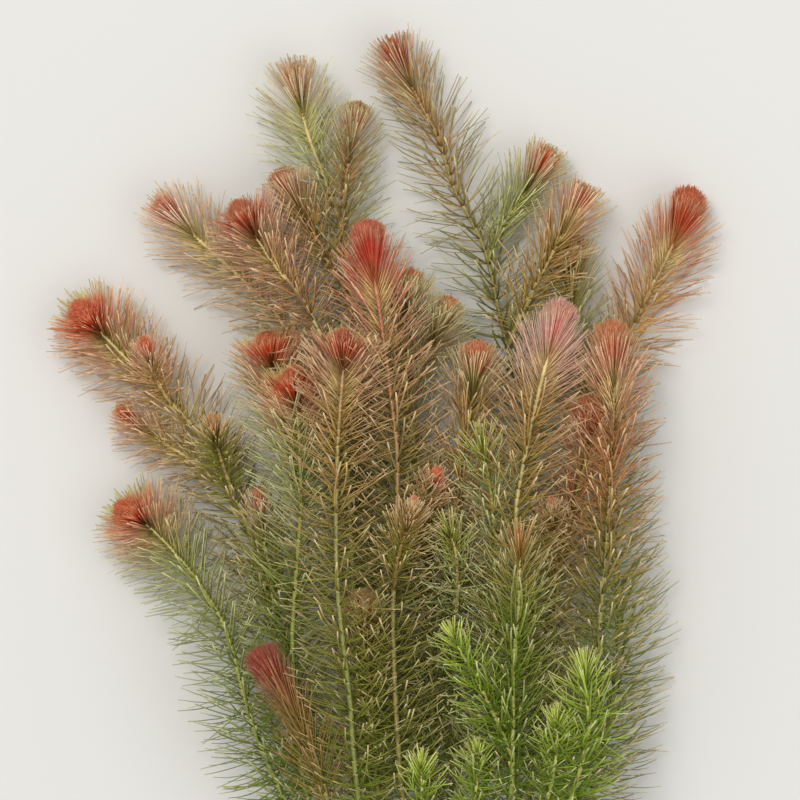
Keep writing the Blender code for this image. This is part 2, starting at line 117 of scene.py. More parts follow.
class Nodes:
    """Builds a material's node tree with short calls."""

    PATCH_EDGES = (0.3, 0.7)
    SOFT = 2.0
    FINE = 3.0

    def __init__(self, name: str) -> None:
        """Starts a material that holds a Principled shader.

        Args:
            name: The material's name.
        """
        self.material = bpy.data.materials.new(name)
        self.material.use_nodes = True
        self.tree = self.material.node_tree
        self.shader = self.tree.nodes["Principled BSDF"]

    def add(self, kind: str, **settings: object) -> bpy.types.Node:
        """Adds a node and sets its properties.

        Args:
            kind: Blender's name of the node type.
            **settings: Properties of the node.

        Returns:
            The new node.
        """
        node = self.tree.nodes.new(kind)
        for key, value in settings.items():
            setattr(node, key, value)
        return node

    def join(self, output: Socket, target: Socket) -> None:
        """Links an output to an input."""
        self.tree.links.new(output, target)

    def read(self, attribute: str) -> Socket:
        """Reads a number that the mesh holds at each point."""
        return self.add("ShaderNodeAttribute", attribute_name=attribute).outputs["Fac"]

    def ranged(self, value: Socket, low: float, high: float,
               to_low: float = 0.0, to_high: float = 1.0) -> Socket:
        """Maps a value from one range to another, with an eased course.

        Args:
            value: The value to map.
            low: Where the range starts.
            high: Where the range ends.
            to_low: The result at the start.
            to_high: The result at the end.

        Returns:
            The socket with the result.
        """
        node = self.add("ShaderNodeMapRange", interpolation_type="SMOOTHSTEP")
        self.join(value, node.inputs["Value"])
        for name, number in (("From Min", low), ("From Max", high), ("To Min", to_low), ("To Max", to_high)):
            node.inputs[name].default_value = number
        return node.outputs["Result"]

    def times(self, first: Socket, second: Socket) -> Socket:
        """Multiplies two values.

        Args:
            first: One value.
            second: The other.

        Returns:
            The socket with the product.
        """
        node = self.add("ShaderNodeMath", operation="MULTIPLY")
        self.join(first, node.inputs[0])
        self.join(second, node.inputs[1])
        return node.outputs[0]

    def ramp(self, value: Socket, places: tuple[float, ...], colours: tuple[ScreenColour, ...]) -> Socket:
        """Reads a colour off a row of stops.

        Args:
            value: Where to read, 0 to 1.
            places: Each stop's place.
            colours: Each stop's colour.

        Returns:
            The socket with the colour.
        """
        node = self.add("ShaderNodeValToRGB")
        band = node.color_ramp
        band.interpolation = "EASE"
        while len(band.elements) < len(places):
            band.elements.new(1.0)
        for element, place, colour in zip(band.elements, places, colours):
            element.position = place
            element.color = (*from_screen(colour), 1.0)
        self.join(value, node.inputs["Fac"])
        return node.outputs["Color"]

    def mix(self, share: Socket, first: Socket | ScreenColour, second: Socket | ScreenColour) -> Socket:
        """Mixes two colours.

        Args:
            share: How much of the second colour.
            first: A colour, or a socket with one.
            second: A colour, or a socket with one.

        Returns:
            The socket with the mixed colour.
        """
        node = self.add("ShaderNodeMix", data_type="RGBA", blend_type="MIX")
        self.join(share, node.inputs["Factor"])
        for socket, colour in ((node.inputs[6], first), (node.inputs[7], second)):
            if isinstance(colour, str):
                socket.default_value = (*from_screen(colour), 1.0)
            else:
                self.join(colour, socket)
        return node.outputs[2]

    def shaded(self, colour: Socket, light: Socket) -> Socket:
        """Multiplies a colour by a number.

        Args:
            colour: The colour.
            light: The number.

        Returns:
            The socket with the shaded colour.
        """
        node = self.add("ShaderNodeVectorMath", operation="SCALE")
        self.join(colour, node.inputs[0])
        self.join(light, node.inputs["Scale"])
        return node.outputs["Vector"]

    def noise(self, scale: float, detail: float = SOFT, stretch: Point = (1.0, 1.0, 1.0)) -> Socket:
        """A soft noise over the object's own coordinates.

        Args:
            scale: How many waves there are in a metre.
            detail: How many finer waves lie on it.
            stretch: The scale along each axis.

        Returns:
            The socket with the noise, 0 to 1.
        """
        place = self.add("ShaderNodeTexCoord")
        spread = self.add("ShaderNodeMapping")
        spread.inputs["Scale"].default_value = stretch
        self.join(place.outputs["Object"], spread.inputs["Vector"])
        node = self.add("ShaderNodeTexNoise")
        node.inputs["Scale"].default_value = scale
        node.inputs["Detail"].default_value = detail
        self.join(spread.outputs["Vector"], node.inputs["Vector"])
        return node.outputs["Fac"]

    def patches(self, scale: float, low: float = 0.0, high: float = 1.0, detail: float = SOFT) -> Socket:
        """Soft patches between two values."""
        return self.ranged(self.noise(scale, detail), *self.PATCH_EDGES, low, high)

    def bump(self, height: Socket, strength: float, depth: float) -> None:
        """Raises fine relief on the surface.

        Args:
            height: The relief, 0 to 1.
            strength: How strongly it shows.
            depth: Its depth in metres.
        """
        node = self.add("ShaderNodeBump")
        node.inputs["Strength"].default_value = strength
        node.inputs["Distance"].default_value = depth
        self.join(height, node.inputs["Height"])
        self.join(node.outputs["Normal"], self.shader.inputs["Normal"])


@dataclass(frozen=True)
class Shades:
    """The colours of leaves at two ages, each of a leaf's base and of its outer half.

    Args:
        base: A younger leaf's base, lighter than its own pale colour: painted light that stands in for light
            shining through the leaves into the shade near the stem.
        outer: A younger leaf's outer half.
        old_base: An older leaf's base, likewise painted lighter to stand in for light in the shaded throat.
        old_outer: An older leaf's outer half.
    """

    base: ScreenColour
    outer: ScreenColour
    old_base: ScreenColour
    old_outer: ScreenColour


@dataclass(frozen=True)
class LeafFinish:
    """The colours of a shoot's leaves, from the youngest at the tip to the oldest.

    The class's own pairs say between which ages, or places along a leaf, one colour gives way to
    the next, or between which factors its light and roughness change.

    Args:
        name: The material's name.
        head: Shades of the dome at the tip.
        body: Shades of the leaves below it.
        cream: Colour of the head's leaf ends on the side that faces the light: their own pale tips, made
            lighter there as a painted highlight.
        cream_share: How strongly those painted-lit ends show.
        dry: Colour of the older leaves' ends.
    """

    name: str
    head: Shades
    body: Shades
    cream: ScreenColour = "e0d692"
    cream_share: float = 0.35
    dry: ScreenColour = "ead0a4"

    STOPS = (0.135, 0.2, 0.38, 0.7)
    OUTER_HALF = (0.2, 0.62)
    LOW_BASE = "6e901a"
    LOW_OUTER = "849030"
    LOW_SHARE = 0.6
    # Where the young leaves' pale ends are painted lighter on the side that faces the light, a painted
    # highlight over their own pale tips: the ages, and the places along a leaf.
    CREAM_AGES = (0.2, 0.36)
    CREAM_PLACES = (0.55, 0.88)
    DRY_AGES = (0.05, 0.25)
    DRY_PLACES = (0.7, 1.0)
    DRY_SHARES = (0.16, 0.68)
    LIGHT = (0.76, 1.24)
    MOTTLE_SCALE = 900.0
    MOTTLE_LIGHT = (0.88, 1.1)
    SHEEN_SCALE = 2500.0
    ROUGHNESS = (0.42, 0.62)
    SPECULAR = 0.3
    GRAIN_SCALE = 4000.0
    GRAIN_STRENGTH = 0.15
    GRAIN_DEPTH = 0.0002

    def material(self) -> bpy.types.Material:
        """Makes the material the first time.

        Returns:
            The material, the same one each time.
        """
        found = bpy.data.materials.get(self.name)
        if found:
            return found
        nodes = Nodes(self.name)
        age = nodes.read("age")
        along = nodes.read("along")
        bases = (self.head.base, self.head.old_base, self.body.base, self.body.old_base)
        outers = (self.head.outer, self.head.old_outer, self.body.outer, self.body.old_outer)
        outward = nodes.ranged(along, *self.OUTER_HALF)
        blade = nodes.mix(outward, nodes.ramp(age, self.STOPS, bases), nodes.ramp(age, self.STOPS, outers))
        green = nodes.mix(outward, self.LOW_BASE, self.LOW_OUTER)
        blade = nodes.mix(nodes.ranged(nodes.read("low"), 0.0, 1.0, 0.0, self.LOW_SHARE), blade, green)
        # Painted highlight: the ends of the young leaves that face the light turn pale, over their own pale
        # tips.
        young = nodes.ranged(age, *self.CREAM_AGES, self.cream_share, 0.0)
        lit_side = nodes.times(nodes.read("pale"), nodes.ranged(along, *self.CREAM_PLACES))
        blade = nodes.mix(nodes.times(young, lit_side), blade, self.cream)
        dried = nodes.ranged(age, *self.DRY_AGES, *self.DRY_SHARES)
        blade = nodes.mix(nodes.times(nodes.ranged(along, *self.DRY_PLACES), dried), blade, self.dry)
        light = nodes.ranged(nodes.read("chance"), 0.0, 1.0, *self.LIGHT)
        blade = nodes.shaded(blade, nodes.times(light, nodes.patches(self.MOTTLE_SCALE, *self.MOTTLE_LIGHT)))
        nodes.join(blade, nodes.shader.inputs["Base Color"])
        nodes.join(nodes.patches(self.SHEEN_SCALE, *self.ROUGHNESS), nodes.shader.inputs["Roughness"])
        nodes.shader.inputs["Specular IOR Level"].default_value = self.SPECULAR
        nodes.bump(nodes.noise(self.GRAIN_SCALE, nodes.FINE), self.GRAIN_STRENGTH, self.GRAIN_DEPTH)
        return nodes.material


@dataclass(frozen=True)
class StemFinish:
    """The colours of a stem, from its tip to its foot.

    Args:
        name: The material's name.
        colours: Colours at the ages of STOPS.
        knuckle: Colour of the raised ring at each whorl.
    """

    name: str
    colours: tuple[ScreenColour, ...]
    knuckle: ScreenColour = "ded29a"

    STOPS = (0.0, 0.16, 0.28, 0.45, 0.8)
    KNUCKLE_FROM = 0.3
    KNUCKLE_SHARE = 0.5
    MOTTLE_SCALE = 450.0
    MOTTLE_LIGHT = (0.78, 1.1)
    ROUGHNESS = (0.3, 0.5)
    RIB_SCALE = 2600.0
    RIB_STRETCH = (1.0, 0.15, 1.0)
    RIB_STRENGTH = 0.3
    RIB_DEPTH = 0.0003

    def material(self) -> bpy.types.Material:
        """Makes the material the first time.

        Returns:
            The material, the same one each time.
        """
        found = bpy.data.materials.get(self.name)
        if found:
            return found
        nodes = Nodes(self.name)
        stem = nodes.ramp(nodes.read("age"), self.STOPS, self.colours)
        swollen = nodes.ranged(nodes.read("along"), self.KNUCKLE_FROM, 1.0, 0.0, self.KNUCKLE_SHARE)
        stem = nodes.mix(swollen, stem, self.knuckle)
        patch = nodes.patches(self.MOTTLE_SCALE, detail=nodes.FINE)
        stem = nodes.shaded(stem, nodes.ranged(patch, 0.0, 1.0, *self.MOTTLE_LIGHT))
        nodes.join(stem, nodes.shader.inputs["Base Color"])
        nodes.join(nodes.ranged(patch, 0.0, 1.0, *self.ROUGHNESS), nodes.shader.inputs["Roughness"])
        ribs = nodes.noise(self.RIB_SCALE, nodes.FINE, self.RIB_STRETCH)
        nodes.bump(ribs, self.RIB_STRENGTH, self.RIB_DEPTH)
        return nodes.material


# The bases are painted lighter than the leaves' own colour: painted light standing in for the light that
# shines through the thin leaves into the shaded throat behind each head.
FLAME_HEAD = Shades("e68458", "d64e3a", "f4d494", "de8e72")
BRICK_HEAD = Shades("eca468", "d65c36", "fae8a8", "e0a886")
BLUSH_HEAD = Shades("e8ac78", "ce745c", "faecb0", "e4c2a8")
SAND_HEAD = Shades("eaca88", "d09c78", "f4eca8", "dcc8a8")
SALMON_HEAD = Shades("ecb26e", "d6704a", "ded882", "c4ac78")
RUST_HEAD = Shades("e09c62", "c05a38", "f2da9c", "cea280")
PINK_RED_HEAD = Shades("be6848", "a63e30", "bc8054", "a66246")
ROSE_HEAD = Shades("e89e7e", "ee9486", "f6d8a6", "f2c6b8")
CREAM_GREEN_HEAD = Shades("bac054", "bab864", "b4bc4e", "acae5a")
OLIVE_HEAD = Shades("ca9c50", "c08a54", "beac56", "ae985a")
LIME_HEAD = Shades("bed050", "c6d462", "a6c038", "aec24c")

ROSY_BODY = Shades("deb678", "ca9876", "96903c", "9c8a52")
RIM_BODY = Shades("ecc272", "d09e7a", "8c9e2e", "949646")
TAN_BODY = Shades("d4b262", "c29a66", "969634", "9a8a48")
EMBER_BODY = Shades("c07454", "ae624c", "8a6236", "865a3c")
RUST_BODY = Shades("d0985c", "bc825a", "929438", "968848")
GOLD_BODY = Shades("f2da88", "cea47a", "cace60", "a8985e")
# PALE_BODY is partly the leaves' own pale colour and partly painted light, lighter all over to make up for
# the shade that its shoot lies in.
PALE_BODY = Shades("f0dc96", "e0c2a0", "b0ac5a", "b4a870")
GREEN_BODY = Shades("ced07e", "bcbe88", "869a30", "90984c")
OLIVE_BODY = Shades("acac42", "a0964e", "728824", "808636")
MOSS_BODY = Shades("d0a66c", "b2a070", "96963e", "989c58")
DEEP_BODY = Shades("8c9c34", "8c9440", "547416", "667c24")
FRESH_BODY = Shades("90b028", "9cb438", "668a1a", "7c962a")

# PALE_CREAM and YELLOW_CREAM are the colours of the leaf ends on the side that faces the light: pale tips,
# painted lighter there as a painted highlight.
PALE_CREAM = "ead6b8"
YELLOW_CREAM = "e2d88c"
PALE_GREEN = "d0d09c"
FLAME_ON_ROSY = LeafFinish("flame_head_rosy_leaf", FLAME_HEAD, ROSY_BODY, cream_share=0.1)
BRICK_ON_ROSY = LeafFinish("brick_head_rosy_leaf", BRICK_HEAD, ROSY_BODY)
BRICK_ON_RIM = LeafFinish("brick_head_rim_leaf", BRICK_HEAD, RIM_BODY)
BRICK_ON_TAN = LeafFinish("brick_head_tan_leaf", BRICK_HEAD, TAN_BODY)
BLUSH_ON_PALE = LeafFinish("blush_head_pale_leaf", BLUSH_HEAD, PALE_BODY, PALE_CREAM, 0.85)
BRICK_ON_RUST = LeafFinish("brick_head_rust_leaf", BRICK_HEAD, RUST_BODY)
SALMON_ON_TAN = LeafFinish("salmon_head_tan_leaf", SALMON_HEAD, TAN_BODY)
SALMON_ON_MOSS = LeafFinish("salmon_head_moss_leaf", SALMON_HEAD, MOSS_BODY, dry=PALE_GREEN)
SAND_ON_GREEN = LeafFinish("sand_head_green_leaf", SAND_HEAD, GREEN_BODY, PALE_CREAM, 0.85, PALE_GREEN)
RUST_ON_ROSY = LeafFinish("rust_head_rosy_leaf", RUST_HEAD, ROSY_BODY, PALE_CREAM)
RUST_ON_TAN = LeafFinish("rust_head_tan_leaf", RUST_HEAD, TAN_BODY, PALE_CREAM)
RUST_ON_MOSS = LeafFinish("rust_head_moss_leaf", RUST_HEAD, MOSS_BODY, YELLOW_CREAM, 0.7, PALE_GREEN)
RUST_ON_OLIVE = LeafFinish("rust_head_olive_leaf", RUST_HEAD, OLIVE_BODY)
CREAM_ON_RUST = LeafFinish("cream_end_rust_leaf", RUST_HEAD, TAN_BODY, YELLOW_CREAM, 1.0)
CREAM_ON_TAN = LeafFinish("cream_end_tan_leaf", BRICK_HEAD, TAN_BODY, YELLOW_CREAM, 0.95)
CREAM_ON_GOLD = LeafFinish("cream_end_gold_leaf", BRICK_HEAD, GOLD_BODY, YELLOW_CREAM, 0.95)
CREAM_ON_GREEN = LeafFinish("cream_end_green_leaf", BRICK_HEAD, GREEN_BODY, YELLOW_CREAM, 0.95, PALE_GREEN)
ROSE_ON_TAN = LeafFinish("rose_head_tan_leaf", ROSE_HEAD, TAN_BODY, "f0d2ca", 0.7)
PINK_RED_ON_EMBER = LeafFinish("pink_red_head_ember_leaf", PINK_RED_HEAD, EMBER_BODY, PALE_CREAM, 0.15,
                               "ba8264")
OLIVE_ON_GREEN = LeafFinish("olive_head_green_leaf", OLIVE_HEAD, GREEN_BODY, dry=PALE_GREEN)
OLIVE_LEAF = LeafFinish("olive_leaf", OLIVE_HEAD, OLIVE_BODY)
CREAM_GREEN_LEAF = LeafFinish("cream_green_leaf", CREAM_GREEN_HEAD, GREEN_BODY, YELLOW_CREAM, 0.5,
                              PALE_GREEN)
DEEP_GREEN_LEAF = LeafFinish("deep_green_leaf", OLIVE_HEAD, DEEP_BODY, YELLOW_CREAM, 0.3, PALE_GREEN)
LIME_LEAF = LeafFinish("lime_leaf", LIME_HEAD, FRESH_BODY, YELLOW_CREAM, 0.45, PALE_GREEN)

YELLOW_STEM = StemFinish("yellow_stem", ("e2b470", "e2c884", "d8c480", "c8b872", "9e9e52"))
ROSY_STEM = StemFinish("rosy_stem", ("c2422e", "b86042", "b46e4c", "b28054", "948a48"), knuckle="cea076")
TAN_STEM = StemFinish("tan_stem", ("c4623a", "b88658", "b08e56", "9e924e", "868e40"), knuckle="ceb884")
GREEN_STEM = StemFinish("green_stem", ("d8c878", "d0c874", "bebc62", "aaac4e", "869636"), knuckle="ceca88")
DARK_STEM = StemFinish("dark_green_stem", ("ac7a46", "98864e", "8a864a", "747a3a", "606e2e"),
                       knuckle="969a5c")


class Route:
    """A smooth curve through given points, read by the distance along it."""

    CURVE_STEPS = 12
    HEADING_REACH = 1.5

    def __init__(self, points: list[Point], step: float = 1.0) -> None:
        """Works the curve out.

        Args:
            points: The points that it goes through.
            step: How far apart its samples lie.
        """
        knots = [Vector(p) for p in points]
        knots = [knots[0] * 2 - knots[1]] + knots + [knots[-1] * 2 - knots[-2]]
        curve = [knots[1]]
        for before, start, end, after in zip(knots, knots[1:], knots[2:], knots[3:]):
            gap = (end - start).length
            enter = (end - before) * (gap / ((start - before).length + gap))
            leave = (after - start) * (gap / ((after - end).length + gap))
            for i in range(1, self.CURVE_STEPS + 1):
                t = i / self.CURVE_STEPS
                curve.append(
                    start * (2 * t**3 - 3 * t**2 + 1)
                    + enter * (t**3 - 2 * t**2 + t)
                    + end * (3 * t**2 - 2 * t**3)
                    + leave * (t**3 - t**2)
                )
        rough = np.array(curve)
        lengths = np.r_[0, np.cumsum(np.linalg.norm(np.diff(rough, axis=0), axis=1))]
        self.length = float(lengths[-1])
        self.stations = np.linspace(0, self.length, max(2, round(self.length / step)) + 1)
        self.points = np.column_stack([np.interp(self.stations, lengths, rough[:, k]) for k in range(3)])

    def at(self, s: np.ndarray) -> np.ndarray:
        """The points at distances s along the route."""
        return np.column_stack([np.interp(s, self.stations, self.points[:, k]) for k in range(3)])

    def heading(self, s: np.ndarray) -> np.ndarray:
        """The directions of growth at distances s along the route."""
        reach = self.HEADING_REACH
        return unit(self.at(np.minimum(s + reach, self.length)) - self.at(np.maximum(s - reach, 0)))


@dataclass
class Skin:
    """Points, faces and what the finish reads from them, gathered until they make one mesh.

    Args:
        points: The points of each part.
        faces: Its faces, those with the same number of corners together.
        maps: The places of the faces' corners on the map.
        slots: The material slot of each face.
        values: The READINGS at each point.
        count: How many points there are so far.
    """

    points: list[np.ndarray] = field(default_factory=list)
    faces: list[np.ndarray] = field(default_factory=list)
    maps: list[np.ndarray] = field(default_factory=list)
    slots: list[np.ndarray] = field(default_factory=list)
    values: list[np.ndarray] = field(default_factory=list)
    count: int = 0

    def add(self, points: np.ndarray, values: np.ndarray,
            groups: list[tuple[np.ndarray, np.ndarray]], slot: int) -> None:
        """Adds points and the faces between them.

        Args:
            points: The points, one a row.
            values: The READINGS at each point.
            groups: Faces with the same number of corners, with the place of each corner on the map.
            slot: The material slot of the faces.
        """
        self.points.append(points)
        self.values.append(values)
        for faces, places in groups:
            self.faces.append(faces + self.count)
            self.maps.append(places.reshape(-1, 2))
            self.slots.append(np.full(len(faces), slot, np.int32))
        self.count += len(points)

    def build(self, name: str, materials: list[bpy.types.Material]) -> bpy.types.Object:
        """Makes the object.

        Args:
            name: The object's name.
            materials: Its materials, by slot.

        Returns:
            The object, linked to the scene.
        """
        mesh = bpy.data.meshes.new(name)
        points = ((np.concatenate(self.points) + PLACE) * MM).astype(np.float32)
        corners = np.concatenate([f.ravel() for f in self.faces]).astype(np.int32)
        sizes = np.concatenate([np.full(len(f), f.shape[1]) for f in self.faces]).astype(np.int32)
        starts = np.r_[0, np.cumsum(sizes)[:-1]].astype(np.int32)
        mesh.vertices.add(len(points))
        mesh.vertices.foreach_set("co", points.ravel())
        mesh.loops.add(len(corners))
        mesh.loops.foreach_set("vertex_index", corners)
        mesh.polygons.add(len(sizes))
        mesh.polygons.foreach_set("loop_start", starts)
        mesh.polygons.foreach_set("material_index", np.concatenate(self.slots))
        mesh.polygons.foreach_set("use_smooth", np.ones(len(sizes), bool))
        places = np.concatenate(self.maps).astype(np.float32).ravel()
        for layer in ("LeafMap", "OFBake"):
            mesh.uv_layers.new(name=layer).data.foreach_set("uv", places)
        values = np.concatenate(self.values).astype(np.float32)
        for column, key in enumerate(READINGS):
            mesh.attributes.new(key, "FLOAT", "POINT").data.foreach_set("value", values[:, column].copy())
        mesh.update(calc_edges=True)
        mesh.validate()
        for material in materials:
            mesh.materials.append(material)
        thing = bpy.data.objects.new(name, mesh)
        bpy.context.scene.collection.objects.link(thing)
        return thing


@dataclass
class Stem:
    """A stem's tube, with a knuckle at each whorl.

    Args:
        route: The curve that it follows.
        end: How far along the route it ends.
        foot_radius: Its radius at the foot.
        tip_radius: Its radius at the tip.
        nodes: Distances of the whorls along the route.
        sides: How many sides the tube has.
        knuckle: How much a knuckle swells, as a share of the radius.
        tip_taper: How far behind its end the tube starts to close.
    """

    route: Route
    end: float
    foot_radius: float
    tip_radius: float
    nodes: np.ndarray
    sides: int = 8
    knuckle: float = 0.16
    tip_taper: float = 5.0

    RING_GAP = 3.0
    LEAST_GAP = 0.3
    KNUCKLE_HALF = 0.45
    LEAST_CLOSING = 0.02
    FLOOR = 0.05
    MAP_FOOT = 0.02
    MAP_HEIGHT = 0.96
    CAP_HEIGHT = 0.008
    CAP_FOOT = 0.99

    def radius(self, s: np.ndarray) -> np.ndarray:
        """Works out the smooth stem's radius.

        Args:
            s: Distances along the route.

        Returns:
            The radius at each.
        """
        share = s / self.end
        plain = self.foot_radius + (self.tip_radius - self.foot_radius) * share
        closing = np.sqrt(np.clip((self.end - s) / self.tip_taper, self.LEAST_CLOSING, 1.0))
        return plain * closing

    def rings(self) -> tuple[np.ndarray, np.ndarray]:
        """Sets out the tube's rings.

        Returns:
            Their distances along the route, and how much each swells into a knuckle, 0 or 1.
        """
        marks = [(float(s), 0.0) for s in np.arange(0, self.end, self.RING_GAP)]
        marks += [(float(s), 1.0) for s in self.nodes]
        half = self.KNUCKLE_HALF
        marks += [(float(s + side), 0.0) for s in self.nodes for side in (-half, half)]
        marks.append((self.end, 0.0))
        marks = sorted(m for m in marks if 0 <= m[0] <= self.end)
        kept = [marks[0]]
        for mark in marks[1:]:
            if mark[0] - kept[-1][0] >= self.LEAST_GAP:
                kept.append(mark)
            elif mark[1] > kept[-1][1]:
                kept[-1] = mark
        return np.array([m[0] for m in kept]), np.array([m[1] for m in kept])

    def drape(self, skin: Skin, slot: int, strip: Pair) -> None:
        """Adds the tube to a skin.

        Args:
            skin: What the tube joins.
            slot: Its material slot.
            strip: Where its part of the map's width starts and ends.
        """
        s, swell = self.rings()
        along = self.route.heading(s)
        side = unit(np.cross(along, UPRIGHT) + 1e-6)
        under = np.cross(along, side)
        radii = self.radius(s) * (1 + self.knuckle * swell)
        turns = np.arange(self.sides) * 2 * math.pi / self.sides
        ring = np.cos(turns)[None, :, None] * side[:, None] + np.sin(turns)[None, :, None] * under[:, None]
        points = (self.route.at(s)[:, None] + ring * radii[:, None, None]).reshape(-1, 3)
        points[:, 2] = np.maximum(points[:, 2], self.FLOOR)
        count = len(s)
        values = np.zeros((count, self.sides, len(READINGS)))
        values[:, :, READINGS.index("age")] = age_of(self.end - s)[:, None]
        values[:, :, READINGS.index("along")] = swell[:, None]
        ring_starts = (np.arange(count - 1) * self.sides)[:, None]
        low = ring_starts + np.arange(self.sides)
        next_low = ring_starts + np.roll(np.arange(self.sides), -1)
        quads = np.stack([low, next_low, next_low + self.sides, low + self.sides], -1).reshape(-1, 4)
        caps = np.array([np.arange(self.sides)[::-1], np.arange(self.sides) + (count - 1) * self.sides])
        maps, cap_maps = self.map_places(s, turns, strip)
        skin.add(points, values.reshape(-1, len(READINGS)), [(quads, maps), (caps, cap_maps)], slot)

    def map_places(self, s: np.ndarray, turns: np.ndarray, strip: Pair) -> tuple[np.ndarray, np.ndarray]:
        """Lays the tube out on the map.

        Args:
            s: The rings' distances along the route.
            turns: The sides' turns round the stem, in radians.
            strip: Where its part of the map's width starts and ends.

        Returns:
            The places of the corners of its sides, and those of its two caps.
        """
        room = strip[1] - strip[0]
        height = self.MAP_FOOT + self.MAP_HEIGHT * s / self.end
        maps = np.zeros((len(s) - 1, self.sides, 4, 2))
        maps[:, :, (0, 3), 0] = (strip[0] + room * np.arange(self.sides) / self.sides)[None, :, None]
        maps[:, :, (1, 2), 0] = (strip[0] + room * (np.arange(self.sides) + 1) / self.sides)[None, :, None]
        maps[:, :, (0, 1), 1] = height[:-1, None, None]
        maps[:, :, (2, 3), 1] = height[1:, None, None]
        dots = np.stack([0.5 + 0.5 * np.cos(turns), 0.5 + 0.5 * np.sin(turns)], -1)
        cap_maps = np.stack([dots[::-1], dots]) * np.array((room, self.CAP_HEIGHT)) + (strip[0], 0.0)
        cap_maps[1, :, 1] += self.CAP_FOOT
        return maps, cap_maps


Table = tuple[Pair, ...]


def read_table(table: Table, place: np.ndarray | float) -> np.ndarray:
    """Reads the values of a table at places between its rows."""
    places, values = zip(*table)
    return np.interp(place, places, values)


@dataclass(frozen=True)
class Habit:
    """How a shoot's leaves grow. Each table gives a value by the distance behind the tip, in millimetres.

    Args:
        front: How far the youngest leaves reach in front of the stem's tip.
        gaps: Distance from one whorl to the next.
        counts: Leaves in a whorl.
        lengths: A leaf's length as a share of the full one.
        angles: A leaf's angle to the stem at its base, in degrees.
        bends: How much it turns away from the stem up to its tip, in degrees.
        half_widths: Half its width.
        wobble: How far its angles stray, in degrees.
        parts_from: Where the leaves start to part over the stem.
    """

    front: float
    gaps: Table
    counts: Table
    lengths: Table
    angles: Table
    bends: Table
    half_widths: Table
    wobble: float = 7.0
    parts_from: float = 9.0


BRUSH = Habit(
    front=11.4,
    gaps=((0, 0.05), (1, 0.07), (2.5, 0.11), (3.5, 0.35), (5, 0.7), (10, 1.1), (15, 1.6), (25, 2.2),
          (45, 2.6)),
    counts=((0, 12), (3, 14), (9, 12), (40, 11)),
    lengths=((0, 0.66), (2, 0.72), (3, 0.8), (5, 0.96), (8, 1)),
    angles=((0, 3), (0.5, 9), (1, 14), (2, 20), (3, 24), (4, 30), (6, 37), (10, 44), (15, 50), (20, 55),
            (30, 63), (45, 71), (80, 80)),
    bends=((0, 0), (15, -1), (30, -4), (60, -14), (100, -24)),
    half_widths=((0, 0.1), (3, 0.12), (5, 0.18), (10, 0.21), (30, 0.25)),
)
OPEN = replace(
    BRUSH,
    front=11.0,
    gaps=((0, 0.09), (1, 0.16), (2, 0.3), (3, 0.5), (6, 0.9), (10, 1.3), (15, 1.8), (25, 2.3), (45, 2.7)),
    lengths=((0, 0.52), (1, 0.64), (2, 0.76), (3, 0.86), (4.5, 0.94), (6, 0.98), (8, 1)),
    half_widths=((0, 0.13), (2, 0.16), (4, 0.2), (8, 0.23), (30, 0.25)),
    wobble=9.0,
    parts_from=5.0,
)
TANGLED = replace(BRUSH, wobble=17.0, parts_from=4.0)
DOME = replace(
    BRUSH,
    front=9.0,
    gaps=((0, 0.05), (1, 0.06), (3, 0.1), (4, 0.3), (6, 0.45), (10, 0.7), (15, 1.2), (25, 2.1), (45, 2.6)),
    lengths=((0, 0.44), (2, 0.5), (3, 0.57), (4.5, 0.86), (8, 0.97), (15, 1)),
    angles=((0, 4), (1, 17), (2, 26), (3, 32), (4, 40), (6, 48), (10, 54), (15, 58), (20, 61), (30, 66),
            (45, 72), (80, 80)),
    half_widths=((0, 0.1), (3, 0.12), (4.5, 0.19), (8, 0.22), (30, 0.25)),
    wobble=9.0,
    parts_from=3.0,
)
FLAME = replace(
    BRUSH,
    front=10.8,
    gaps=((0, 0.05), (1, 0.06), (3, 0.08), (6, 0.14), (7.5, 0.6), (10, 1), (15, 1.6), (25, 2.2), (45, 2.6)),
    lengths=((0, 0.7), (1.2, 0.72), (3, 0.78), (6, 0.86), (8, 0.98), (10, 1)),
    angles=((0, 4), (0.5, 12), (1.2, 17), (3, 18), (6, 20), (7.5, 32), (10, 43), (15, 51), (20, 56),
            (30, 64), (45, 71), (80, 80)),
    half_widths=((0, 0.09), (6, 0.11), (7.5, 0.18), (12, 0.22), (30, 0.25)),
    parts_from=4.0,
)
WILD_FLAME = replace(FLAME, wobble=13.0)
PAINTBRUSH = replace(
    FLAME,
    gaps=((0, 0.05), (1, 0.07), (4, 0.12), (8, 0.3), (12, 1.1), (20, 2.1), (45, 2.6)),
    lengths=((0, 0.7), (1.2, 0.73), (3, 0.84), (8, 1)),
    angles=((0, 4), (0.5, 14), (1.2, 20), (5, 18), (14, 19), (20, 28), (30, 46), (45, 62)),
    half_widths=((0, 0.1), (8, 0.13), (14, 0.17), (30, 0.21)),
    wobble=8.0,
)
BUD = Habit(
    front=9.5,
    gaps=((0, 0.08), (2, 0.2), (6, 0.8), (14, 1.9), (40, 2.9)),
    counts=((0, 10), (4, 12), (40, 10)),
    lengths=((0, 0.6), (4, 0.85), (10, 1)),
    angles=((0, 4), (1, 14), (3, 28), (6, 40), (12, 54), (25, 64), (60, 74)),
    bends=((0, 0), (10, -4), (40, -16)),
    half_widths=((0, 0.12), (4, 0.14), (10, 0.19), (30, 0.22)),
    wobble=9.0,
)
SPARK = replace(
    BUD,
    front=8.2,
    lengths=((0, 0.5), (3, 0.6), (6, 0.85), (12, 1)),
    angles=((0, 3), (1, 9), (3, 15), (6, 28), (12, 46), (25, 60), (60, 74)),
    wobble=13.0,
)
